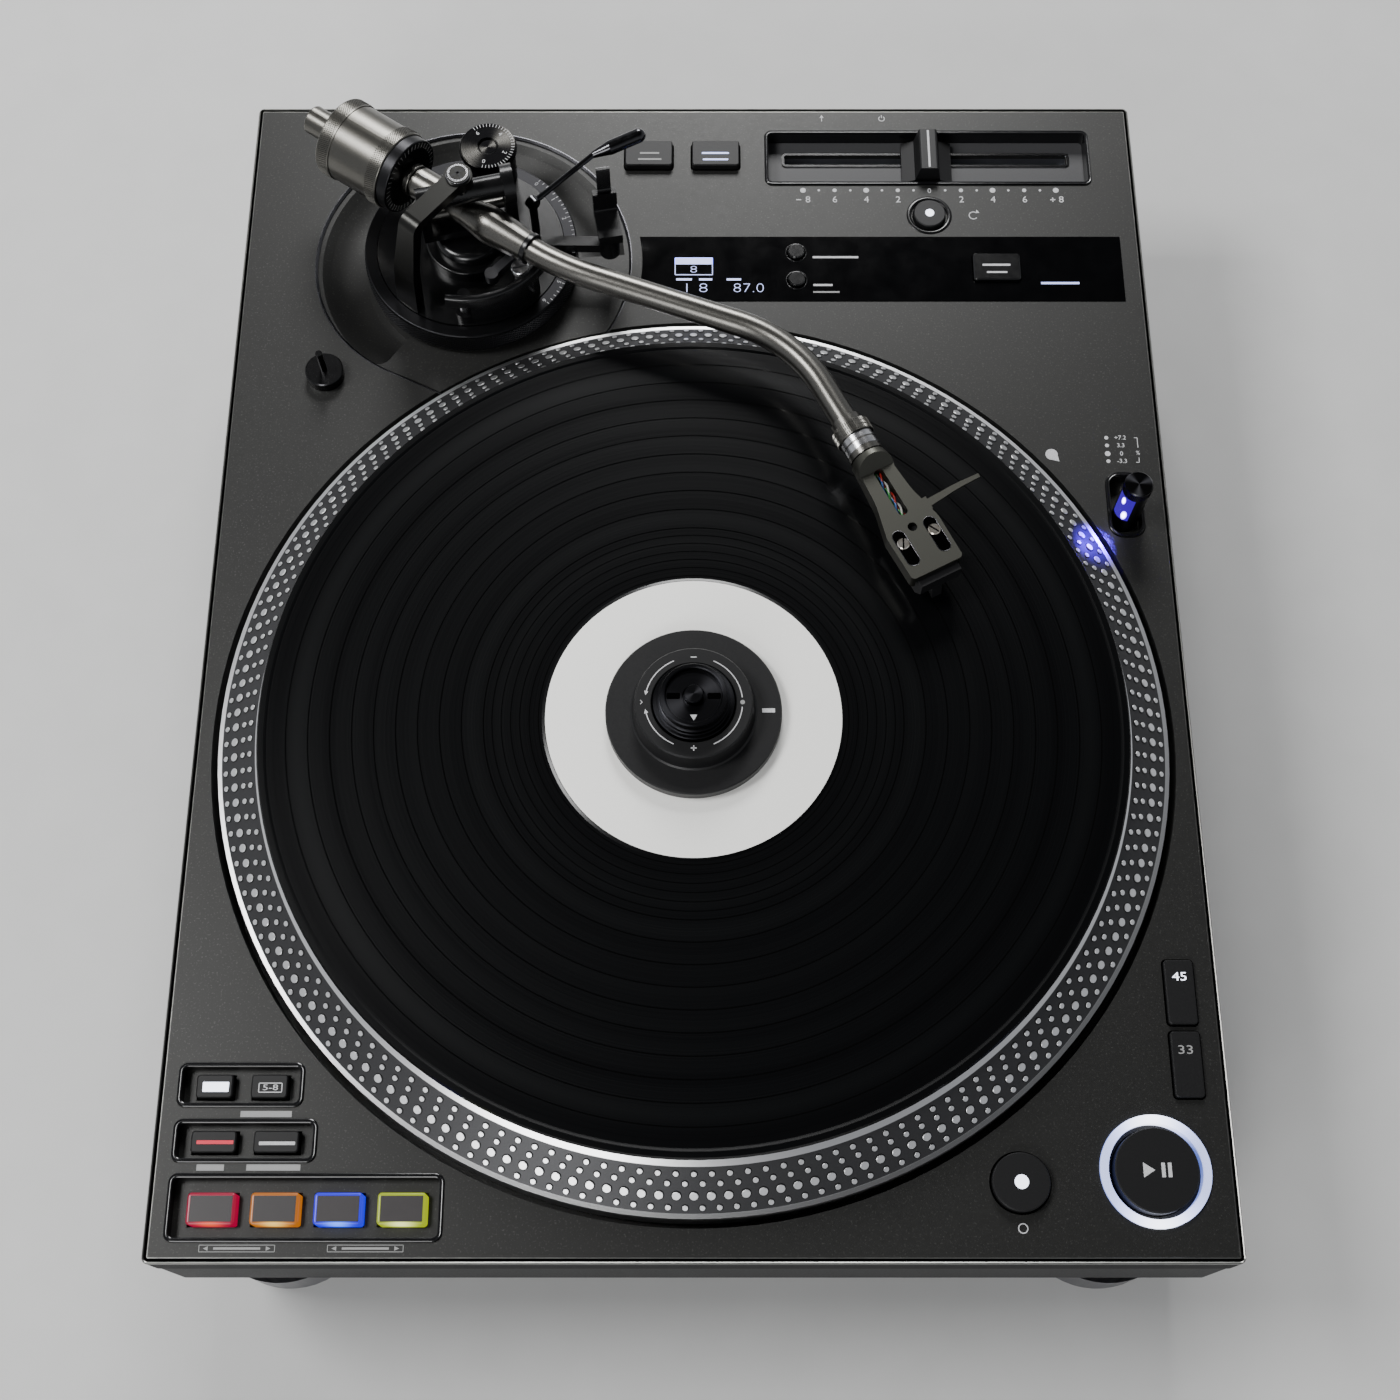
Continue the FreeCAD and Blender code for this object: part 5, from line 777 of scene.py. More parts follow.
def array_tree():
    """Copies an item at equal steps of angle round an axis, each turned with its place, then seats the ring."""
    tree = bpy.data.node_groups.new("copies_round_an_axis", "GeometryNodeTree")
    face = tree.interface
    face.new_socket("Geometry", in_out="OUTPUT", socket_type="NodeSocketGeometry")
    for name, kind in (("Item", "NodeSocketObject"), ("Count", "NodeSocketInt"), ("Radius", "NodeSocketFloat"),
                       ("Start", "NodeSocketFloat"), ("Step", "NodeSocketFloat"), ("Height", "NodeSocketFloat"),
                       ("Turn", "NodeSocketRotation"), ("Centre", "NodeSocketVector"),
                       ("Finish", "NodeSocketMaterial")):
        face.new_socket(name, in_out="INPUT", socket_type=kind)
    given = add_node(tree, "NodeGroupInput").outputs
    number = add_node(tree, "GeometryNodeInputIndex").outputs[0]
    angle = math_node(tree, "ADD", math_node(tree, "MULTIPLY", number, given["Step"]), given["Start"])
    x = math_node(tree, "MULTIPLY", math_node(tree, "COSINE", angle), given["Radius"])
    y = math_node(tree, "MULTIPLY", math_node(tree, "SINE", angle), given["Radius"])
    place = add_node(tree, "ShaderNodeCombineXYZ", {0: x, 1: y, 2: given["Height"]})
    points = add_node(tree, "GeometryNodePoints", {"Count": given["Count"], "Position": place.outputs[0]})
    turned = add_node(tree, "ShaderNodeCombineXYZ", {2: angle})
    item = add_node(tree, "GeometryNodeObjectInfo", {"Object": given["Item"]})
    copies = add_node(tree, "GeometryNodeInstanceOnPoints", {
        "Points": points.outputs[0], "Instance": item.outputs["Geometry"], "Rotation": turned.outputs[0]})
    solid = add_node(tree, "GeometryNodeRealizeInstances", {0: copies.outputs[0]})
    seated = add_node(tree, "GeometryNodeTransform", {
        "Geometry": solid.outputs[0], "Translation": given["Centre"], "Rotation": given["Turn"]})
    painted = add_node(tree, "GeometryNodeSetMaterial", {"Geometry": seated.outputs[0],
                                                        "Material": given["Finish"]})
    add_node(tree, "NodeGroupOutput", {0: painted.outputs[0]})
    return tree


def copies(name, item, material, body, slot, count, radius, step=None, start=0.0, height=0.0, matrix=None):
    """A ring or arc of copies of a small mesh, made with the node tree and turned into one plain mesh."""
    tree = bpy.data.node_groups.get("copies_round_an_axis") or array_tree()
    bmesh.ops.recalc_face_normals(item, faces=item.faces)
    item.transform(Matrix.Scale(MM, 4))
    item_mesh = bpy.data.meshes.new(name + "_item")
    item.to_mesh(item_mesh)
    item.free()
    item_object = bpy.data.objects.new(name + "_item", item_mesh)
    holder = bpy.data.objects.new(name + "_holder", bpy.data.meshes.new(name + "_holder"))
    for thing in (item_object, holder):
        bpy.context.scene.collection.objects.link(thing)
    matrix = matrix or Matrix.Identity(4)
    modifier = holder.modifiers.new("copies", "NODES")
    modifier.node_group = tree
    values = {
        "Item": item_object, "Count": count, "Radius": radius * MM, "Start": start,
        "Step": FULL_TURN / count if step is None else step, "Height": height * MM,
        "Turn": matrix.to_euler(), "Centre": matrix.to_translation() * MM, "Finish": finish(material),
    }
    for socket in tree.interface.items_tree:
        if socket.in_out == "INPUT":
            modifier[socket.identifier] = values[socket.name]
    bpy.context.view_layer.update()
    result = holder.evaluated_get(bpy.context.evaluated_depsgraph_get())
    mesh = bpy.data.meshes.new_from_object(result)
    mesh.name = name
    made = bpy.data.objects.new(name, mesh)
    bpy.context.scene.collection.objects.link(made)
    for thing in (holder, item_object):
        bpy.data.objects.remove(thing)
    settle(made, body)
    return made


# Settings that a user would change


class PanelSettings(bpy.types.PropertyGroup):
    ink_proud: bpy.props.FloatProperty(name="Ink height", description="How far printed marks stand proud",
                                       default=0.00008, unit="LENGTH")
    groove_wide: bpy.props.FloatProperty(name="Border groove", description="Width of the groove round the plate",
                                         default=0.0009, unit="LENGTH")


class PlatterSettings(bpy.types.PropertyGroup):
    small_dot: bpy.props.FloatProperty(name="Small dot", description="Diameter of the small strobe dots",
                                       default=0.0019, unit="LENGTH")
    large_dot: bpy.props.FloatProperty(name="Large dot", description="Diameter of the large strobe dots",
                                       default=0.0029, unit="LENGTH")
    dot_proud: bpy.props.FloatProperty(name="Dot height", description="How far a dot stands off the cone",
                                       default=0.0004, unit="LENGTH")
    label_radius: bpy.props.FloatProperty(name="Label radius", description="Radius of the record's label",
                                          default=0.0513, unit="LENGTH")


class LightSettings(bpy.types.PropertyGroup):
    key_power: bpy.props.FloatProperty(name="Back light", description="Power of the soft light behind; the front "
                                       "and the left one follow it", default=24.0)
    room: bpy.props.FloatProperty(name="Room light", description="Strength of the soft light all round",
                                  default=0.62)
    ceiling: bpy.props.FloatProperty(name="Ceiling", description="Strength of the light straight above",
                                     default=0.04)


# Operators


class LooksOperator(bpy.types.Operator):
    """Shared by the operators of this file."""

    bl_idname = "turntable.looks_base"
    bl_label = "Looks"
    bl_options = {"REGISTER"}

    def execute(self, context):
        self.make(context.scene)
        return {"FINISHED"}


class DressNodes(LooksOperator):
    """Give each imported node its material."""

    bl_idname = "turntable.dress_nodes"
    bl_label = "Dress the packed nodes"

    def make(self, scene):
        make_materials()
        for material, nodes in NODE_FINISHES.items():
            for name in nodes:
                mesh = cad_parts[name].data
                mesh.materials.clear()
                mesh.materials.append(finish(material))


class MakeStrobeDots(LooksOperator):
    """Four rows of raised silver dots on the platter's cone, each ringed at its foot by a painted shadow."""

    bl_idname = "turntable.strobe_dots"
    bl_label = "Strobe dots"

    def make(self, scene):
        settings = scene.turntable_platter
        high, low = Vector((152.2, 111.8)), Vector((165.7, 102.3))
        fall = (high.y - low.y) / (low.x - high.x)
        tilt = Matrix.Rotation(math.atan(fall), 4, "Y")
        small, large = settings.small_dot / MM / 2, settings.large_dot / MM / 2
        proud = settings.dot_proud / MM
        for number, (radius, count, dot) in enumerate(
                ((154.2, 168, small), (157.0, 174, small), (160.5, 180, large), (163.9, 186, small)), start=1):
            level = high.y - (radius - high.x) * fall
            seat = Matrix.Translation((PLATTER.x, PLATTER.y, level))
            item = new_mesh()
            lathe(item, [(0, -0.2), (dot, -0.2), (dot, proud * 0.8), (dot * 0.92, proud), (0, proud)], 14, tilt)
            copies(f"strobe_dots_{number}", item, "strobe_silver", "platter", "platter_metal", count, radius,
                   matrix=seat)
            # Painted shadow: a black ring round the foot of each dot.
            item = new_mesh()
            lathe(item, [(dot, -0.1), (dot + 0.3, -0.1), (dot + 0.3, 0.05), (dot, 0.12)], 14, tilt)
            copies(f"strobe_seats_{number}", item, "painted_dot_shadow", "platter", "platter_metal", count, radius,
                   matrix=seat)


class MakeRecordTrim(LooksOperator):
    """The record's paper label, the smooth gaps between its tracks and its run-out grooves."""

    bl_idname = "turntable.record_trim"
    bl_label = "Record label and grooves"

    def make(self, scene):
        hole, radius = 3.7, scene.turntable_platter.label_radius / MM
        axis = Matrix.Translation(PLATTER)
        bm = new_mesh()
        lathe(bm, [(hole, RECORD_TOP - 0.05), (radius, RECORD_TOP - 0.05), (radius, RECORD_TOP + 0.04),
                   (radius - 0.4, RECORD_TOP + 0.1), (hole, RECORD_TOP + 0.1)], 160, axis)
        piece("record_label", bm, "label_paper", "record", smooth=30)
        groove = RECORD_TOP - 0.3
        bm = new_mesh()
        for number in range(10):
            inner = 140.4 - 7.55 * number
            lathe(bm, [(inner, groove - 0.05), (inner + 0.4, groove - 0.05), (inner + 0.4, groove + 0.02),
                       (inner, groove + 0.02)], 180, axis)
        piece("track_gaps", bm, "vinyl_gap", "record", smooth=60)
        bm = new_mesh()
        for number in range(6):
            inner = 53.5 + 3.2 * number
            lathe(bm, [(inner, groove - 0.05), (inner + 0.3, groove - 0.05), (inner + 0.3, groove + 0.02),
                       (inner, groove + 0.02)], 160, axis)
        piece("run_out_grooves", bm, "vinyl_gap", "record", smooth=60)


class MakeClamp(LooksOperator):
    """The clamp as turned rubber and plastic: a flat base, a coned tier and a stepped dial, with its marks."""

    bl_idname = "turntable.clamp"
    bl_label = "Record clamp"

    def make(self, scene):
        ink = scene.turntable_panel.ink_proud / MM
        seat, axis = RECORD_TOP, Matrix.Translation(PLATTER)
        tier, floor, dish = seat + 12.5, seat + 4.8, seat + 18.1
        bm = new_mesh()
        lathe(bm, [(3.9, seat + 0.1), (30.0, seat + 0.1), (30.4, seat + 0.5), (30.4, floor - 0.5), (30, floor),
                   (21.9, floor), (21.3, floor + 0.5), (20.2, tier - 0.6), (19.7, tier), (14.7, tier),
                   (14.4, tier - 0.3), (14.4, seat + 6.5), (3.9, seat + 6.5)], 128, axis)
        piece("clamp_body", bm, "matt_clamp", "clamp", ["clamp_base"], smooth=30)
        bm = new_mesh()
        lathe(bm, [(3.9, seat + 6.9), (13.9, seat + 6.9), (13.9, tier + 0.9), (13.6, tier + 1.2), (12.6, tier + 1.2),
                   (12.3, tier + 1.5), (12.3, tier + 3.4), (12.0, tier + 3.7), (11.6, tier + 3.9),
                   (11.5, dish + 1.0), (11.1, dish + 1.4), (10.2, dish + 1.4), (9.8, dish + 1.1), (9.4, dish),
                   (3.9, dish), (3.7, dish - 0.6), (3.4, dish - 0.6), (3.3, dish + 2.0), (3.0, dish + 2.4),
                   (0, dish + 2.4), (0, dish - 2)], 96, axis)
        piece("clamp_knob", bm, "clamp_painted_sheen", "clamp_dial", ["clamp_dial"], smooth=30)
        self.marks(tier, floor, dish, ink)

    def marks(self, tier, floor, dish, ink):
        x, y, r = PLATTER.x, PLATTER.y, 16.6
        low, high = tier - SINK, tier + ink
        bm = new_mesh()
        for start, end in ((6, 66), (114, 166), (194, 246), (294, 354)):
            arc_band(bm, x, y, r - 0.18, r + 0.18, math.radians(start), math.radians(end), low, high, 16)
        for angle, way in ((166, 1), (194, -1)):
            self.arrow(bm, x, y, r, math.radians(angle), way, low, high)
        for side in (-1, 1):
            bar(bm, x - r - 1.2, y + side * 0.4, 0.22, 1.0, low, high, side * 0.75)
        bar(bm, x, y + r, 2.0, 0.4, low, high)
        for wide, deep in ((2.0, 0.4), (0.4, 2.0)):
            bar(bm, x, y - r, wide, deep, low, high)
        piece("clamp_print", bm, "white_ink", "clamp")
        bm = new_mesh()
        disc(bm, x + r, y, 0.8, low, high, 20)
        piece("clamp_dot", bm, "grey_ink", "clamp")
        bm = new_mesh()
        bar(bm, x + 25.7, y, 4.4, 1.5, floor - SINK, floor + ink)
        piece("clamp_bar", bm, "white_ink", "clamp")
        bm = new_mesh()
        prism(bm, [(x - 1.2, y - 6.8), (x, y - 8.9), (x + 1.2, y - 6.8)], dish - SINK, dish + ink)
        piece("clamp_pointer", bm, "white_ink", "clamp_dial")
        # Painted shade: black plates on the dial's dish stand for its two slots.
        bm = new_mesh()
        for side in (-1, 1):
            plate(bm, x + side * 6.9, y, 4.6, 2.2, 0.5, dish - SINK, dish + 0.04)
        piece("clamp_slots", bm, "pit_black", "clamp_dial")

    @staticmethod
    def arrow(bm, x, y, radius, angle, way, low, high):
        tip = angle + way * 1.5 / radius
        points = [(radius - 0.7, angle), (radius + 0.7, angle), (radius, tip)]
        places = [around_point(x, y, r, a) for r, a in points]
        prism(bm, places if way > 0 else places[::-1], low, high)


class MakePanelRim(LooksOperator):
    """The ridge, the groove in painted shade and the bead round the top panel's edge, and the machined edge of the
    bowl.
    """

    bl_idname = "turntable.panel_rim"
    bl_label = "Panel rim and bowl edge"

    def make(self, scene):
        start, end = box("top_panel")
        around = rounded_rectangle(0, 0, end.x - start.x, end.y - start.y, 2.2, 8)
        low, ridge, wide = PLATE - 2, 0.8, scene.turntable_panel.groove_wide / MM
        inner = ridge + wide
        bm = new_mesh()
        moulding(bm, around, [(0.3, low + 0.1), (0, low + 0.02), (0, low + 1.3), (0.15, low + 1.7), (0.4, low + 1.85),
                              (ridge - 0.1, low + 1.7), (ridge, low + 0.7)])
        moulding(bm, around, [(inner, PLATE - 0.5), (inner, PLATE - 0.08), (inner + 0.15, PLATE + 0.05),
                              (inner + 0.35, PLATE + 0.05), (2.15, PLATE - 0.05), (2.15, PLATE - 0.5)])
        piece("panel_ridges", bm, "rim_edge", "base", smooth=40)
        # Painted shade: a black band between the ridges stands for the shaded groove.
        bm = new_mesh()
        moulding(bm, around, [(ridge, low + ridge - 0.2), (ridge, low + ridge + 0.02), (inner, low + inner + 0.02),
                              (inner, low + inner - 0.2)])
        piece("panel_groove", bm, "pit_black", "base")
        self.bowl_edge()

    def bowl_edge(self):
        x, y, reach, bend = PIVOT.x, PIVOT.y, 61.8, 61.3
        around = rounded_outline([(x - reach, y - 34.5, 54.5), (x - 4.7, y - reach, 0), (x + reach, y - reach, bend),
                                  (x + reach, y + reach, bend), (x - reach, y + reach, bend)], 40)
        bm = new_mesh()
        moulding(bm, around, [(-0.35, PLATE - 0.3), (-0.35, PLATE + 0.04), (0, PLATE + 0.04), (0.8, PLATE - 0.6),
                              (0.8, PLATE - 0.95), (0, PLATE - 0.95)])
        piece("bowl_edge", bm, "bevel_metal", "base", smooth=30)


class MakePanelPrint(LooksOperator):
    """The printed scales, signs and bare caption plates on the top panel."""

    bl_idname = "turntable.panel_print"
    bl_label = "Panel print"

    def make(self, scene):
        low, high = PLATE - SINK, PLATE + scene.turntable_panel.ink_proud / MM
        self.fader_scale(low, high)
        self.strobe_scale(low, high)
        self.signs(low, high)
        self.captions(low, high)

    def fader_scale(self, low, high):
        first, pitch, dots_y, numbers_y = 43.7, 6.3, 186.2, 181.7
        bm = new_mesh()
        for step in range(17):
            radius = 1.15 if step % 4 == 0 else 0.85 if step % 2 == 0 else 0.5
            x = first + pitch * step
            if step == 8:
                letters(bm, "0", 3.2, x, dots_y - 0.3, low, high)
                continue
            disc(bm, x, dots_y, radius, low, high, 20)
            if step % 2 == 0:
                shift = 1.9 if step in (0, 16) else 0
                letters(bm, str(abs(step - 8)), 4.2, x + shift, numbers_y, low, high)
        for x, wide, deep in ((first - 1.8, 2.0, 0.45), (first + pitch * 16 - 1.5, 2.0, 0.45),
                              (first + pitch * 16 - 1.5, 0.45, 2.0)):
            bar(bm, x, numbers_y, wide, deep, low, high)
        piece("fader_scale", bm, "white_ink", "base")

    def strobe_scale(self, low, high):
        rows = (("+7.2", 73.7, 0.75), ("3.3", 70.4, 0.75), ("0", 66.9, 1.05), ("-3.3", 63.7, 0.75))
        bm = new_mesh()
        for text, y, radius in rows:
            disc(bm, 155.6, y, radius, low, high, 20)
            letters(bm, text, 2.5, 160.8, y, low, high)
        for bottom, top, end in ((69.5, 73.7, 73.7), (63.2, 65.3, 63.2)):
            bar(bm, 167.2, (bottom + top) / 2, 0.25, top - bottom, low, high)
            bar(bm, 166.6, end, 1.2, 0.25, low, high)
        letters(bm, "%", 2.3, 167.0, 67.2, low, high)
        piece("strobe_scale", bm, "white_ink", "base")

    def signs(self, low, high):
        bm = new_mesh()
        drop = [around_point(134.5, 66.6, 2.3, math.radians(-10 + 280 * n / 24)) for n in range(25)]
        prism(bm, [*drop, (137.2, 63.6)], low, high)
        arc_band(bm, 76.3, 221.2, 1.0, 1.3, math.radians(-235), math.radians(55), low, high, 20)
        bar(bm, 76.3, 222.3, 0.3, 1.4, low, high)
        bar(bm, 52, 221, 0.3, 2.2, low, high)
        prism(bm, [(51.2, 221.7), (52.8, 221.7), (52, 223.0)], low, high)
        arc_band(bm, 105.7, -215.5, 1.3, 1.65, 0, FULL_TURN, low, high, 32)
        arc_band(bm, 111, 174.2, 1.5, 1.85, math.radians(40), math.radians(320), low, high, 24)
        prism(bm, [(111.9, 175.4), (113.4, 175.4), (112.4, 176.9)], low, high)
        piece("panel_signs", bm, "white_ink", "base")

    def captions(self, low, high):
        bm = new_mesh()
        for left, right, y in ((-148.6, -131.8, -179.1), (-161.4, -152.5, -196.3), (-145.2, -127.7, -196.3)):
            bar(bm, (left + right) / 2, y, right - left, 2.0, low, high)
        for left, right in ((-158.3, -133.9), (-117.2, -92.8)):
            frame_band(bm, (left + right) / 2, -221.7, right - left, 2.3, 0.25, 0.2, low, high)
            bar(bm, (left + right) / 2, -221.7, 15.0, 0.7, low, high)
            for base, way in ((left + 2.9, -1), (right - 2.9, 1)):
                corners = [(base, -222.4), (base + way * 1.5, -221.7), (base, -221.0)]
                prism(bm, corners if way > 0 else corners[::-1], low, high)
        piece("caption_plates", bm, "grey_ink", "base")


class MakeTrayTrim(LooksOperator):
    """Gloss linings in the five trays, the floors of the key trays and the fader's, and the lamp's parking pin."""

    bl_idname = "turntable.tray_trim"
    bl_label = "Tray linings"

    # Each tray's middle, width, depth, corner radius and the level of its floor.
    key_trays = ((-149.25, -169.55, 41.5, 14.5, 3, 93), (-146.5, -187.7, 47, 14, 3, 93),
                 (-125.4, -208.95, 89.2, 21.5, 3, 93))
    fader_tray = (93.9, 201.9, 130.4, 26.2, 3, 94.2)
    lamp_tray = (160.4, 45.4, 13.5, 27, 5.5, 95)

    def make(self, scene):
        top = top_of("panel_trays")
        bm = new_mesh()
        for x, y, wide, deep, corner, floor in (*self.key_trays, self.fader_tray, self.lamp_tray):
            moulding(bm, rounded_rectangle(x, y, wide, deep, corner, 8), [
                (0, top - 0.4), (0, top), (0.25, top + 0.12), (0.5, top + 0.02), (0.8, top + 0.02),
                (1.05, top + 0.12), (1.34, top - 0.02), (1.36, floor + 0.05), (1.3, floor + 0.05),
                (1.28, top - 0.4)])
        piece("tray_linings", bm, "gloss_tray", "base", smooth=25)
        self.fader_floor()
        self.key_floors()
        bm = new_mesh()
        lathe(bm, [(0, 94.8), (1.2, 94.8), (1.2, 96.2), (0.9, 96.6), (0, 96.6)], 24,
              Matrix.Translation((161.5, 55.2, 0)))
        piece("lamp_pin", bm, "bright_screw", "base", smooth=30)

    def key_floors(self):
        """Each key tray's finished floor, open where its keys come through."""
        level = PLATE - 4
        bm = new_mesh()
        for tray, names in zip(self.key_trays, (("left_key_one", "right_key_one"), ("left_key_two", "right_key_two"),
                                                ("pad_1", "pad_2", "pad_3", "pad_4"))):
            x, y, wide, deep = tray[0], tray[1], tray[2] - 2.7, tray[3] - 2.7
            openings = [box(name) for name in names]
            near, far = openings[0][0].y + 0.8, openings[0][1].y - 0.8
            bounds = [y - deep / 2, near, far, y + deep / 2]
            for front, back in (bounds[:2], bounds[2:]):
                bar(bm, x, (front + back) / 2, wide, back - front, level - 0.6, level)
            left = x - wide / 2
            for low, high in openings:
                bar(bm, (left + low.x + 0.8) / 2, (near + far) / 2, low.x + 0.8 - left, far - near, level - 0.6, level)
                left = high.x - 0.8
            bar(bm, (left + x + wide / 2) / 2, (near + far) / 2, x + wide / 2 - left, far - near, level - 0.6, level)
        piece("key_tray_floors", bm, "satin_paint", "base")

    def fader_floor(self):
        x, y, wide, deep, _, floor = self.fader_tray
        wide, deep = wide - 2.8, deep - 2.8
        slot_y, slot_wide, slot_deep = 205, 116.4, 6.6
        left, right, front, back = x - wide / 2, x + wide / 2, y - deep / 2, y + deep / 2
        slot_left, slot_right = x - slot_wide / 2, x + slot_wide / 2
        slot_front, slot_back = slot_y - slot_deep / 2, slot_y + slot_deep / 2
        bm = new_mesh()
        for low, high, near, far in ((left, right, front, slot_front), (left, right, slot_back, back),
                                     (left, slot_left, slot_front, slot_back),
                                     (slot_right, right, slot_front, slot_back)):
            bar(bm, (low + high) / 2, (near + far) / 2, high - low, far - near, floor - SINK, floor + 0.06)
        piece("fader_floor", bm, "fader_grey", "base")
        bm = new_mesh()
        frame_band(bm, x, slot_y, slot_wide, slot_deep, 2.0, 1.0, floor - SINK, floor + 0.5)
        piece("fader_slot_lip", bm, "gloss_tray", "base")


class MakeKeys(LooksOperator):
    """Lit plates, numerals and signs on the keys, the pads' glowing walls and the round keys' rings."""

    bl_idname = "turntable.key_lights"
    bl_label = "Key lights"

    def make(self, scene):
        ink = scene.turntable_panel.ink_proud / MM
        self.pads()
        self.numbers(ink)
        self.lights(ink)
        self.plates(ink)
        self.signs(ink)

    def pads(self):
        for number, material in enumerate(("pad_red", "pad_orange", "pad_blue", "pad_yellow"), start=1):
            name = f"pad_{number}"
            low, high = box(name)
            x, y, top, foot = (low.x + high.x) / 2, (low.y + high.y) / 2, high.z, 93.3
            wide, deep = 15.6, 10.1
            around = rounded_rectangle(x, y, wide, deep, 1.2)
            bm = new_mesh()
            moulding(bm, around, [(-0.06, foot), (-0.06, top - 0.3), (0.25, top + 0.1), (0.6, top + 0.2),
                                  (0.95, top + 0.2), (0.95, top - 0.4), (0.1, top - 0.4), (0.1, foot)])
            piece(f"{name}_wall", bm, material, name, smooth=40)
            bm = new_mesh()
            plate(bm, x, y, wide - 2, deep - 2, 0.5, top - 0.3, top + 0.25)
            piece(f"{name}_cap", bm, "blank_pad", name)

    def numbers(self, ink):
        for name, text, material, x, y in (("speed_key_45", "45", "lit_white", 163.2, -133.7),
                                           ("speed_key_33", "33", "grey_ink", 162.9, -158.4)):
            top = top_of(name)
            bm = new_mesh()
            letters(bm, text, 4.1, x, y, top - SINK, top + ink, wide=4.8)
            piece(f"{name}_number", bm, material, name)

    def lights(self, ink):
        for name, radius in (("motor_key", 2.3), ("reset_key", 1.7)):
            spot, top = middle(name), top_of(name)
            bm = new_mesh()
            disc(bm, spot.x, spot.y, radius, top - SINK, top + ink, 32)
            piece(f"{name}_light", bm, "lit_white", name)
        for name, inner, outer, low, high, slot in (
                ("reset_key", 7.2, 8.9, PLATE - 0.7, PLATE + 0.35, "panel_paint"),
                ("menu_key_high", 3.7, 4.3, PLATE + 0.1, PLATE + 0.5, "window_black"),
                ("menu_key_low", 3.7, 4.3, PLATE + 0.1, PLATE + 0.5, "window_black")):
            third = (outer - inner) / 3
            bm = new_mesh()
            lathe(bm, [(inner, low), (outer, low), (outer, high - 0.3), (outer - third, high),
                       (inner + third, high), (inner, high - 0.3)], 64,
                  Matrix.Translation((middle(name).x, middle(name).y, 0)))
            piece(f"{name}_surround", bm, "gloss_deck", "base", smooth=60)
        # Painted shade: black bands round the square keys and a ring round the motor key stand for the shaded gaps
        # round them.
        bm = new_mesh()
        for name in ("speed_key_45", "speed_key_33", "step_key", "range_key"):
            low, high = box(name)
            frame_band(bm, (low.x + high.x) / 2, (low.y + high.y) / 2, high.x - low.x - 1.2, high.y - low.y - 1.2,
                       1.7, 0.6, PLATE - SINK, PLATE + 0.03)
        spot = middle("motor_key")
        arc_band(bm, spot.x, spot.y, 9.4, 10.1, 0, FULL_TURN, PLATE - SINK, PLATE + 0.03, 64)
        piece("key_gaps", bm, "pit_black", "base")

    def plates(self, ink):
        for name, material, marks in (
                ("left_key_one", "lit_white", [(-162.0, -153.4, -171.7, -168.5)]),
                ("left_key_two", "lit_red", [(-162.3, -150.3, -188.7, -187.5)]),
                ("right_key_two", "white_ink", [(-141.9, -130.1, -189.0, -187.9)]),
                ("step_key", "grey_ink", [(-21.4, -13.7, 201.6, 202.4), (-22.1, -12.8, 198.6, 199.4)]),
                ("range_key", "lit_screen", [(3.4, 14.2, 201.6, 202.4), (3.8, 13.9, 198.5, 199.3)]),
                ("needle_key", "white_ink", [(113.0, 123.9, 149.3, 150.2), (114.5, 122.5, 146.0, 146.8)])):
            top = top_of(name)
            bm = new_mesh()
            for left, right, near, far in marks:
                plate(bm, (left + right) / 2, (near + far) / 2, right - left, far - near, 0.2, top - SINK, top + ink)
            piece(f"{name}_plate", bm, material, name)

    def signs(self, ink):
        spot, top = middle("start_key"), top_of("start_key")
        low, high = top - SINK, top + ink
        bm = new_mesh()
        prism(bm, [(spot.x - 4.6, spot.y - 2.4), (spot.x - 0.8, spot.y), (spot.x - 4.6, spot.y + 2.4)], low, high)
        for side in (1.9, 4.0):
            bar(bm, spot.x + side, spot.y, 1.2, 4.6, low, high)
        piece("start_key_signs", bm, "white_ink", "start_key")
        top = top_of("right_key_one")
        bm = new_mesh()
        frame_band(bm, -139.65, -170.35, 7.9, 3.3, 0.5, 0.3, top - SINK, top + ink)
        letters(bm, "5-8", 2.7, -139.65, -170.35, top - SINK, top + ink, wide=5.0)
        piece("right_key_one_sign", bm, "white_ink", "right_key_one")


class MakeDisplay(LooksOperator):
    """Plain numbers and bars on the display, lit behind the window."""

    bl_idname = "turntable.display"
    bl_label = "Display"

    def make(self, scene):
        top = top_of("display_panel")
        low, high = top - SINK, top + scene.turntable_panel.ink_proud / MM
        bm = new_mesh()
        frame_band(bm, 0.15, 150.15, 14.9, 8.1, 0.4, 0.3, low, high)
        bar(bm, 0.15, 152.6, 14.9, 3.0, low, high)
        letters(bm, "8", 4.6, 0.1, 148.6, low, high, wide=2.5, thin=0.03)
        letters(bm, "1 8", 6.1, 0.65, 140, low, high, wide=8.1, thin=0.03)
        letters(bm, "87.0", 6.1, 21.55, 140, low, high, wide=11.7, thin=0.03)
        for left, right, y in ((135.7, 150.6, 142.4), (-6.7, -0.6, 144.1), (2.2, 7.3, 144.1), (13.0, 18.6, 144.1)):
            bar(bm, (left + right) / 2, y, right - left, 0.9, low, high)
        piece("display_numbers", bm, "lit_screen", "base")
        bm = new_mesh()
        for left, right, y in ((46.8, 64.7, 154.4), (46.8, 54.3, 141.5)):
            bar(bm, (left + right) / 2, y, right - left, 0.9, low, high)
        piece("display_marks", bm, "white_ink", "base")
        bm = new_mesh()
        bar(bm, 51.8, 138.3, 10.2, 0.7, low, high)
        piece("display_dim_mark", bm, "grey_ink", "base")


class MakeFaderTrim(LooksOperator):
    """The white centre line on the fader's knob."""

    bl_idname = "turntable.fader_trim"
    bl_label = "Fader trim"

    def make(self, scene):
        low, high = box("fader_knob")
        bm = new_mesh()
        bar(bm, (low.x + high.x) / 2, (low.y + high.y) / 2, 0.8, high.y - low.y - 1.2, high.z - 0.1, high.z + 0.05)
        piece("fader_line", bm, "white_ink", "fader_knob")


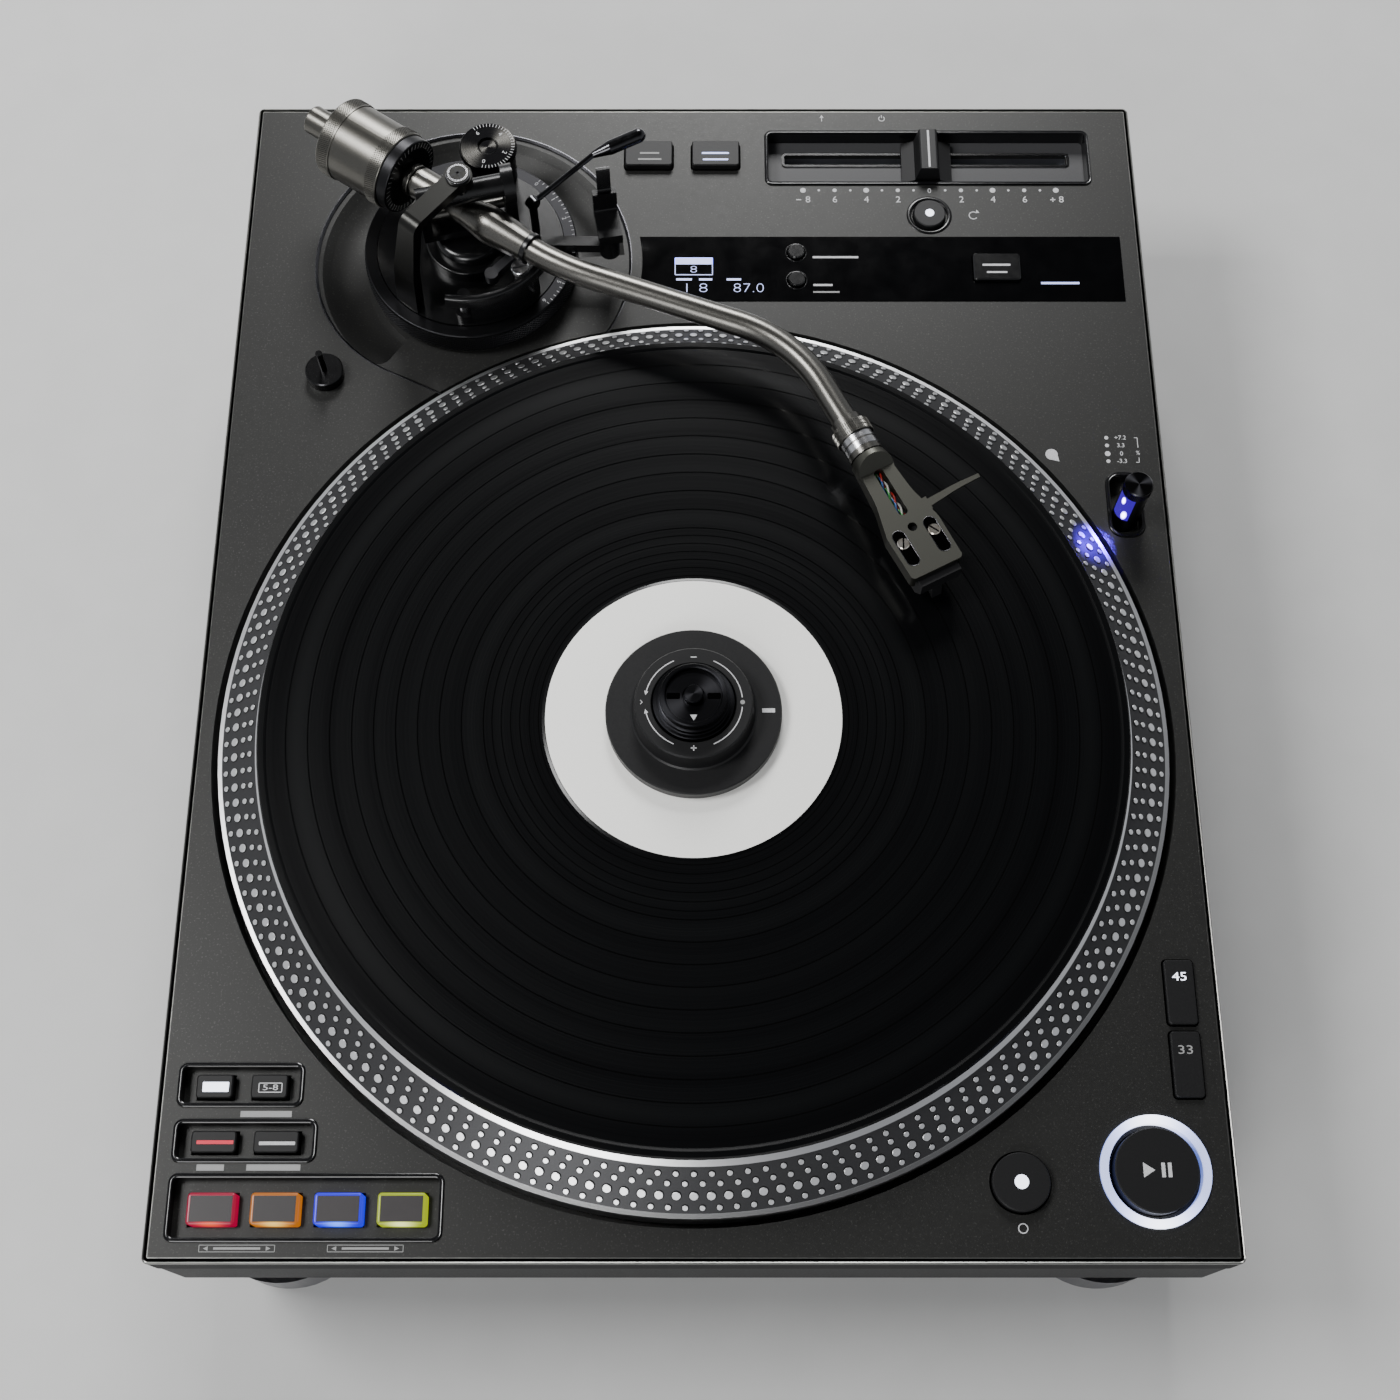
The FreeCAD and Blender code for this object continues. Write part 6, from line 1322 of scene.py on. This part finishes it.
class MakeArmBaseTrim(LooksOperator):
    """Knurls, ticks and numerals on the height ring and the anti-skating dial, and small bright fittings."""

    bl_idname = "turntable.arm_base_trim"
    bl_label = "Arm base trim"

    def make(self, scene):
        ink = scene.turntable_panel.ink_proud / MM
        self.ring(ink)
        self.skate_dial(ink)
        self.fittings()

    def ring(self, ink):
        low, high = box("height_ring")
        top, seat = high.z, Matrix.Translation(PIVOT)
        copies("height_ring_knurl", diamonds(41, 180, low.z + 0.8, top - 0.9, 6, 0.4), "black_ring", "height_ring",
               "arm_metal", 180, 40.98, matrix=seat)
        item = new_mesh()
        bar(item, 0, 0, 1.1, 0.25, top - SINK, top + ink)
        copies("height_ring_ticks", item, "white_ink", "height_ring", "arm_metal", 31, 40.0,
               step=math.radians(3), start=math.radians(-40), matrix=seat)
        bm = new_mesh()
        for number in range(7):
            angle = math.radians(50 - 15 * number)
            spot = PIVOT + Vector((math.cos(angle), math.sin(angle), 0)) * 38.1
            letters(bm, str(number), 2.4, spot.x, spot.y, top - SINK, top + ink, angle - math.pi / 2)
        piece("height_ring_numbers", bm, "white_ink", "height_ring")

    def skate_dial(self, ink):
        spot, top = middle("anti_skate_dial"), top_of("anti_skate_dial")
        axis = Matrix.Translation((spot.x, spot.y, 0))
        item = new_mesh()
        prism(item, [(-0.2, -0.3), (0.25, 0), (-0.2, 0.3)], top - 2.4, top - 0.7)
        copies("skate_dial_knurl", item, "black_ring", "anti_skate_dial", "dial_metal", 72, 10.85, matrix=axis)
        item = new_mesh()
        bar(item, 0, 0, 1.3, 0.2, top - SINK, top + ink)
        copies("skate_dial_ticks", item, "white_ink", "anti_skate_dial", "dial_metal", 31, 9.7,
               step=math.radians(7.5), start=math.radians(-100), matrix=axis)
        bm = new_mesh()
        for number in range(4):
            angle = math.radians(-100 + 75 * number)
            place = spot + Vector((math.cos(angle), math.sin(angle), 0)) * 7.2
            letters(bm, str(number * 2), 2.5, place.x, place.y, top - SINK, top + ink, angle - math.pi / 2)
        piece("skate_dial_numbers", bm, "white_ink", "anti_skate_dial")

    def fittings(self):
        high = top_of("yoke")
        cap = Matrix.Translation(PIVOT)
        bm = new_mesh()
        lathe(bm, [(3.1, high - 1.1), (4.5, high - 1.1), (4.5, high - 0.5), (3.9, high + 0.04), (3.1, high + 0.04)],
              48, cap)
        knob = Matrix.Translation((-65.5, 133.5, 0))
        lathe(bm, [(0, 122), (3.3, 122), (3.4, 122.3), (3.4, 123.9), (3.1, 124.2), (0, 124.2)], 36, knob)
        piece("base_screws", bm, "bright_screw", "arm_base", smooth=30)
        # Painted shade: dark bars on the screw heads stand for their slots.
        bm = new_mesh()
        bar(bm, PIVOT.x, PIVOT.y, 6.2, 0.9, high - 0.4, high + 0.05, 0.6)
        bar(bm, PIVOT.x, PIVOT.y, 0.9, 6.2, high - 0.4, high + 0.05, 0.6)
        bar(bm, -65.5, 133.5, 5.4, 0.8, 123.9, 124.22, 0.3)
        piece("base_screw_slots", bm, "socket_plastic", "arm_base")
        bm = new_mesh()
        lathe(bm, [(2.35, 113), (2.52, 113), (2.52, 121.2), (2.35, 121.2)], 32, Matrix.Translation((-86.2, 121.2, 0)))
        piece("lift_post_sleeve", bm, "bright_screw", "lifter_rail", smooth=40)


class MakeArmTrim(LooksOperator):
    """Knurls on the counterweight and the collar, the force scale, and the sleeve's dark ring."""

    bl_idname = "turntable.arm_trim"
    bl_label = "Tonearm trim"

    def make(self, scene):
        along = Matrix.Rotation(math.radians(90), 4, "Y")
        arm = arm_matrix()
        front = -(25.8 + 4.4)
        for number, start in enumerate((front - 6, front - 28.8), start=1):
            copies(f"weight_knurl_{number}", diamonds(15.4, 104, 0.4, 5.6, 5, 0.3), "gun_metal_weight",
                   "counterweight", "weight_metal", 104, 15.4, matrix=arm @ Matrix.Translation((start, 0, 0)) @ along)
        item = new_mesh()
        bar(item, 0, 0, 2.2, 0.14, -0.03, 0.05)
        copies("force_lines", item, "grey_ink", "pressure_ring", "clamp_black", 40, 12.9,
               matrix=arm @ Matrix.Translation((-25.8, 0, 0)) @ along)
        bm = new_mesh()
        bar(bm, -18.2, 0, 3.2, 0.5, 6.0, 6.3)
        piece("index_mark", bm, "white_ink", "arm", matrix=arm)
        bm = new_mesh()
        lathe(bm, [(4.9, 0), (6.0, 0), (6.15, 0.4), (6.0, 1.9), (4.9, 1.9)], 64,
              arm @ Matrix.Translation((29.65, 0, 0)) @ along)
        piece("sleeve_ring", bm, "gloss_deck", "arm", smooth=40)
        self.collar(shell_matrix(), along)

    def collar(self, shell, along):
        item = new_mesh()
        for ring in range(3):
            prism(item, [(-0.25, -0.3), (0.22, 0), (-0.25, 0.3)], 0.25 + 1.6 * ring, 1.5 + 1.6 * ring)
        copies("collar_knurl", item, "gun_metal_arm", "locking_collar", "arm_metal", 60, 7.0,
               matrix=shell @ Matrix.Translation((41, 0, 0)) @ along)
        bm = new_mesh()
        for start, end in ((0.1, 2.6), (3.0, 5.7)):
            lathe(bm, [(6.1, start), (6.32, start + 0.1), (6.32, end - 0.1), (6.1, end)], 64,
                  shell @ Matrix.Translation((46.1, 0, 0)) @ along)
        piece("collar_sleeve", bm, "polished_steel", "locking_collar", smooth=40)


class MakeHeadshellTrim(LooksOperator):
    """Twisted wires in the headshell's slot, and the cartridge's screws with painted shade: black ovals round them for
    their recesses and black bars for the slots in their heads.
    """

    bl_idname = "turntable.headshell_trim"
    bl_label = "Headshell fittings"

    def make(self, scene):
        shell = shell_matrix()
        for number, (material, side, phase) in enumerate(
                (("wire_red", 0.5, 0.0), ("wire_white", 0.5, 0.5), ("wire_green", -0.5, 0.25),
                 ("wire_blue", -0.5, 0.75)), start=1):
            points = []
            for step in range(61):
                along = 61.2 + 19.2 * step / 60
                turn = FULL_TURN * ((along - 61.2) / 9.5 + phase)
                points.append((along, side + 0.6 * math.cos(turn), 0.6 * math.sin(turn) - 1.6))
            bm = new_mesh()
            tube(bm, points, 0.4, 8)
            piece(f"shell_wire_{number}", bm, material, "headshell", smooth=60, matrix=shell)
        # Painted shade: black ovals stand for the recesses round the screws, black bars for the slots in their heads.
        recess_shades, rims, screws, marks = new_mesh(), new_mesh(), new_mesh(), new_mesh()
        for side in (-1, 1):
            around = rounded_rectangle(92.3, 6.2 * side, 14.8, 5.0, 2.48, 10)
            prism(recess_shades, inset(around, 0.15), 1.0, 1.23)
            moulding(rims, around, [(0, 1.1), (0.02, 1.26), (0.16, 1.3), (0.26, 1.22), (0.26, 1.1)])
            lathe(screws, [(0, 0.9), (2.2, 0.9), (2.2, 1.5), (1.9, 1.8), (0, 1.8)], 32,
                  Matrix.Translation((90.4, 6.2 * side, 0)))
            bar(marks, 90.4, 6.2 * side, 4.0, 0.6, 1.6, 1.82, 0.5 * side)
        piece("shell_slots", recess_shades, "pit_black", "headshell", matrix=shell)
        piece("shell_slot_rims", rims, "bevel_metal", "headshell", smooth=60, matrix=shell)
        piece("shell_screws", screws, "brass_screw", "headshell", smooth=30, matrix=shell)
        piece("shell_screw_slots", marks, "pit_black", "headshell", matrix=shell)


class MakeLamp(LooksOperator):
    """The stylus lamp's glowing window and the knurl on its top."""

    bl_idname = "turntable.lamp"
    bl_label = "Stylus lamp"

    def make(self, scene):
        post, top = middle("lamp_post"), top_of("lamp_post")
        bm = new_mesh()
        arc_band(bm, post.x, post.y, 4.6, 5.16, math.radians(180), math.radians(262), top - 19.5, top - 4.6, 20)
        piece("lamp_window", bm, "lamp_glow", "lamp_post", smooth=40)
        item = new_mesh()
        prism(item, [(-0.2, -0.24), (0.2, 0), (-0.2, 0.24)], top - 4.1, top - 0.6)
        copies("lamp_knurl", item, "spun_post_painted_sheen", "lamp_post", "post_metal", 52, 5.08,
               matrix=Matrix.Translation((post.x, post.y, 0)))


class MakeStage(LooksOperator):
    """The floor, the lights and the camera."""

    bl_idname = "turntable.stage"
    bl_label = "Stage"

    def make(self, scene):
        bm = new_mesh()
        bar(bm, 0, 0, 6000, 6000, -5, 0)
        bm.transform(Matrix.Scale(MM, 4))
        mesh = bpy.data.meshes.new("floor")
        bm.to_mesh(mesh)
        bm.free()
        floor = bpy.data.objects.new("floor", mesh)
        mesh.materials.append(finish("studio_floor"))
        scene.collection.objects.link(floor)
        self.world(scene)
        self.lights(scene.turntable_light)
        self.camera(scene)

    def world(self, scene):
        """A pale room, darker overhead so that the gloss surfaces stay black from the camera."""
        settings = scene.turntable_light
        world = bpy.data.worlds.new("studio")
        scene.world = world
        world.use_nodes = True
        tree = world.node_tree
        direction = add_node(tree, "ShaderNodeTexCoord").outputs["Generated"]
        height = add_node(tree, "ShaderNodeSeparateXYZ", {0: direction}).outputs[2]
        background = tree.nodes["Background"]
        background.inputs[0].default_value = linear("#e8ebf0")
        tree.links.new(spread(tree, height, settings.room, settings.ceiling, 0.3, 0.8), background.inputs[1])

    def lights(self, settings):
        power = settings.key_power
        self.area("back_light", (0.02, 1.35, 1.05), (0, 0.1, 0.1), 0.55, power)
        self.area("front_light", (-0.5, -1.15, 0.85), (-0.02, -0.05, 0.1), 0.6, power * 0.4)
        self.area("left_light", (-0.95, 0.05, 1.45), (-0.05, -0.05, 0.1), 0.5, power * 0.8)
        spot = bpy.data.lights.new("lamp_beam", "SPOT")
        spot.energy = 0.32
        spot.color = linear("#5010ff")[:3]
        spot.spot_size = math.radians(62)
        spot.spot_blend = 0.9
        spot.shadow_soft_size = 0.001
        post = middle("lamp_post")
        start = Vector((post.x - 4.5, post.y - 3.8, top_of("lamp_post") - 8))
        self.aim(bpy.data.objects.new("lamp_beam", spot), start * MM, (start + Vector((-8, -8.5, -10))) * MM)

    def camera(self, scene):
        """The photograph's own camera: its focal length and centre are in pixels of a 1400 pixel picture."""
        data = bpy.data.cameras.new("camera")
        camera = bpy.data.objects.new("camera", data)
        scene.collection.objects.link(camera)
        focal, image, data.sensor_width = 1917.0, 1400.0, 36.0
        data.lens = data.sensor_width * focal / image
        data.shift_x = (image / 2 - 691.84) / image
        data.shift_y = (700.36 - image / 2) / image
        camera.location = Vector((-0.62, -287.13, 733.93)) * MM
        camera.rotation_euler = (math.radians(90 - 68.15), 0, 0)
        scene.camera = camera

    def area(self, name, place, target, size, power):
        data = bpy.data.lights.new(name, "AREA")
        data.energy = power
        data.size = size
        self.aim(bpy.data.objects.new(name, data), place, target)

    @staticmethod
    def aim(light, place, target):
        light.location = place
        light.rotation_euler = (Vector(target) - Vector(place)).to_track_quat("-Z", "Y").to_euler()
        bpy.context.scene.collection.objects.link(light)


OPERATORS = [DressNodes, MakeStrobeDots, MakeRecordTrim, MakeClamp, MakePanelRim, MakePanelPrint, MakeTrayTrim,
             MakeKeys, MakeDisplay, MakeFaderTrim, MakeArmBaseTrim, MakeArmTrim, MakeHeadshellTrim, MakeLamp,
             MakeStage]
SETTINGS = {"turntable_panel": PanelSettings, "turntable_platter": PlatterSettings,
            "turntable_light": LightSettings}


class TurntablePanel(bpy.types.Panel):
    """Lists the operators in the order in which they run."""

    bl_idname = "VIEW3D_PT_turntable"
    bl_label = "Turntable"
    bl_space_type = "VIEW_3D"
    bl_region_type = "UI"
    bl_category = "Turntable"

    def draw(self, context):
        for name in SETTINGS:
            group = getattr(context.scene, name)
            for key in group.bl_rna.properties.keys():
                if key not in ("name", "rna_type"):
                    self.layout.prop(group, key)
        for operator in OPERATORS:
            self.layout.operator(operator.bl_idname)


def register():
    for name, group in SETTINGS.items():
        bpy.utils.register_class(group)
        setattr(bpy.types.Scene, name, bpy.props.PointerProperty(type=group))
    for item in [*OPERATORS, TurntablePanel]:
        bpy.utils.register_class(item)


def unregister():
    for item in reversed([*OPERATORS, TurntablePanel]):
        bpy.utils.unregister_class(item)
    for name, group in SETTINGS.items():
        delattr(bpy.types.Scene, name)
        bpy.utils.unregister_class(group)


def main():
    register()
    for operator in OPERATORS:
        area, name = operator.bl_idname.split(".")
        getattr(getattr(bpy.ops, area), name)()


if __name__ == "__main__":
    main()
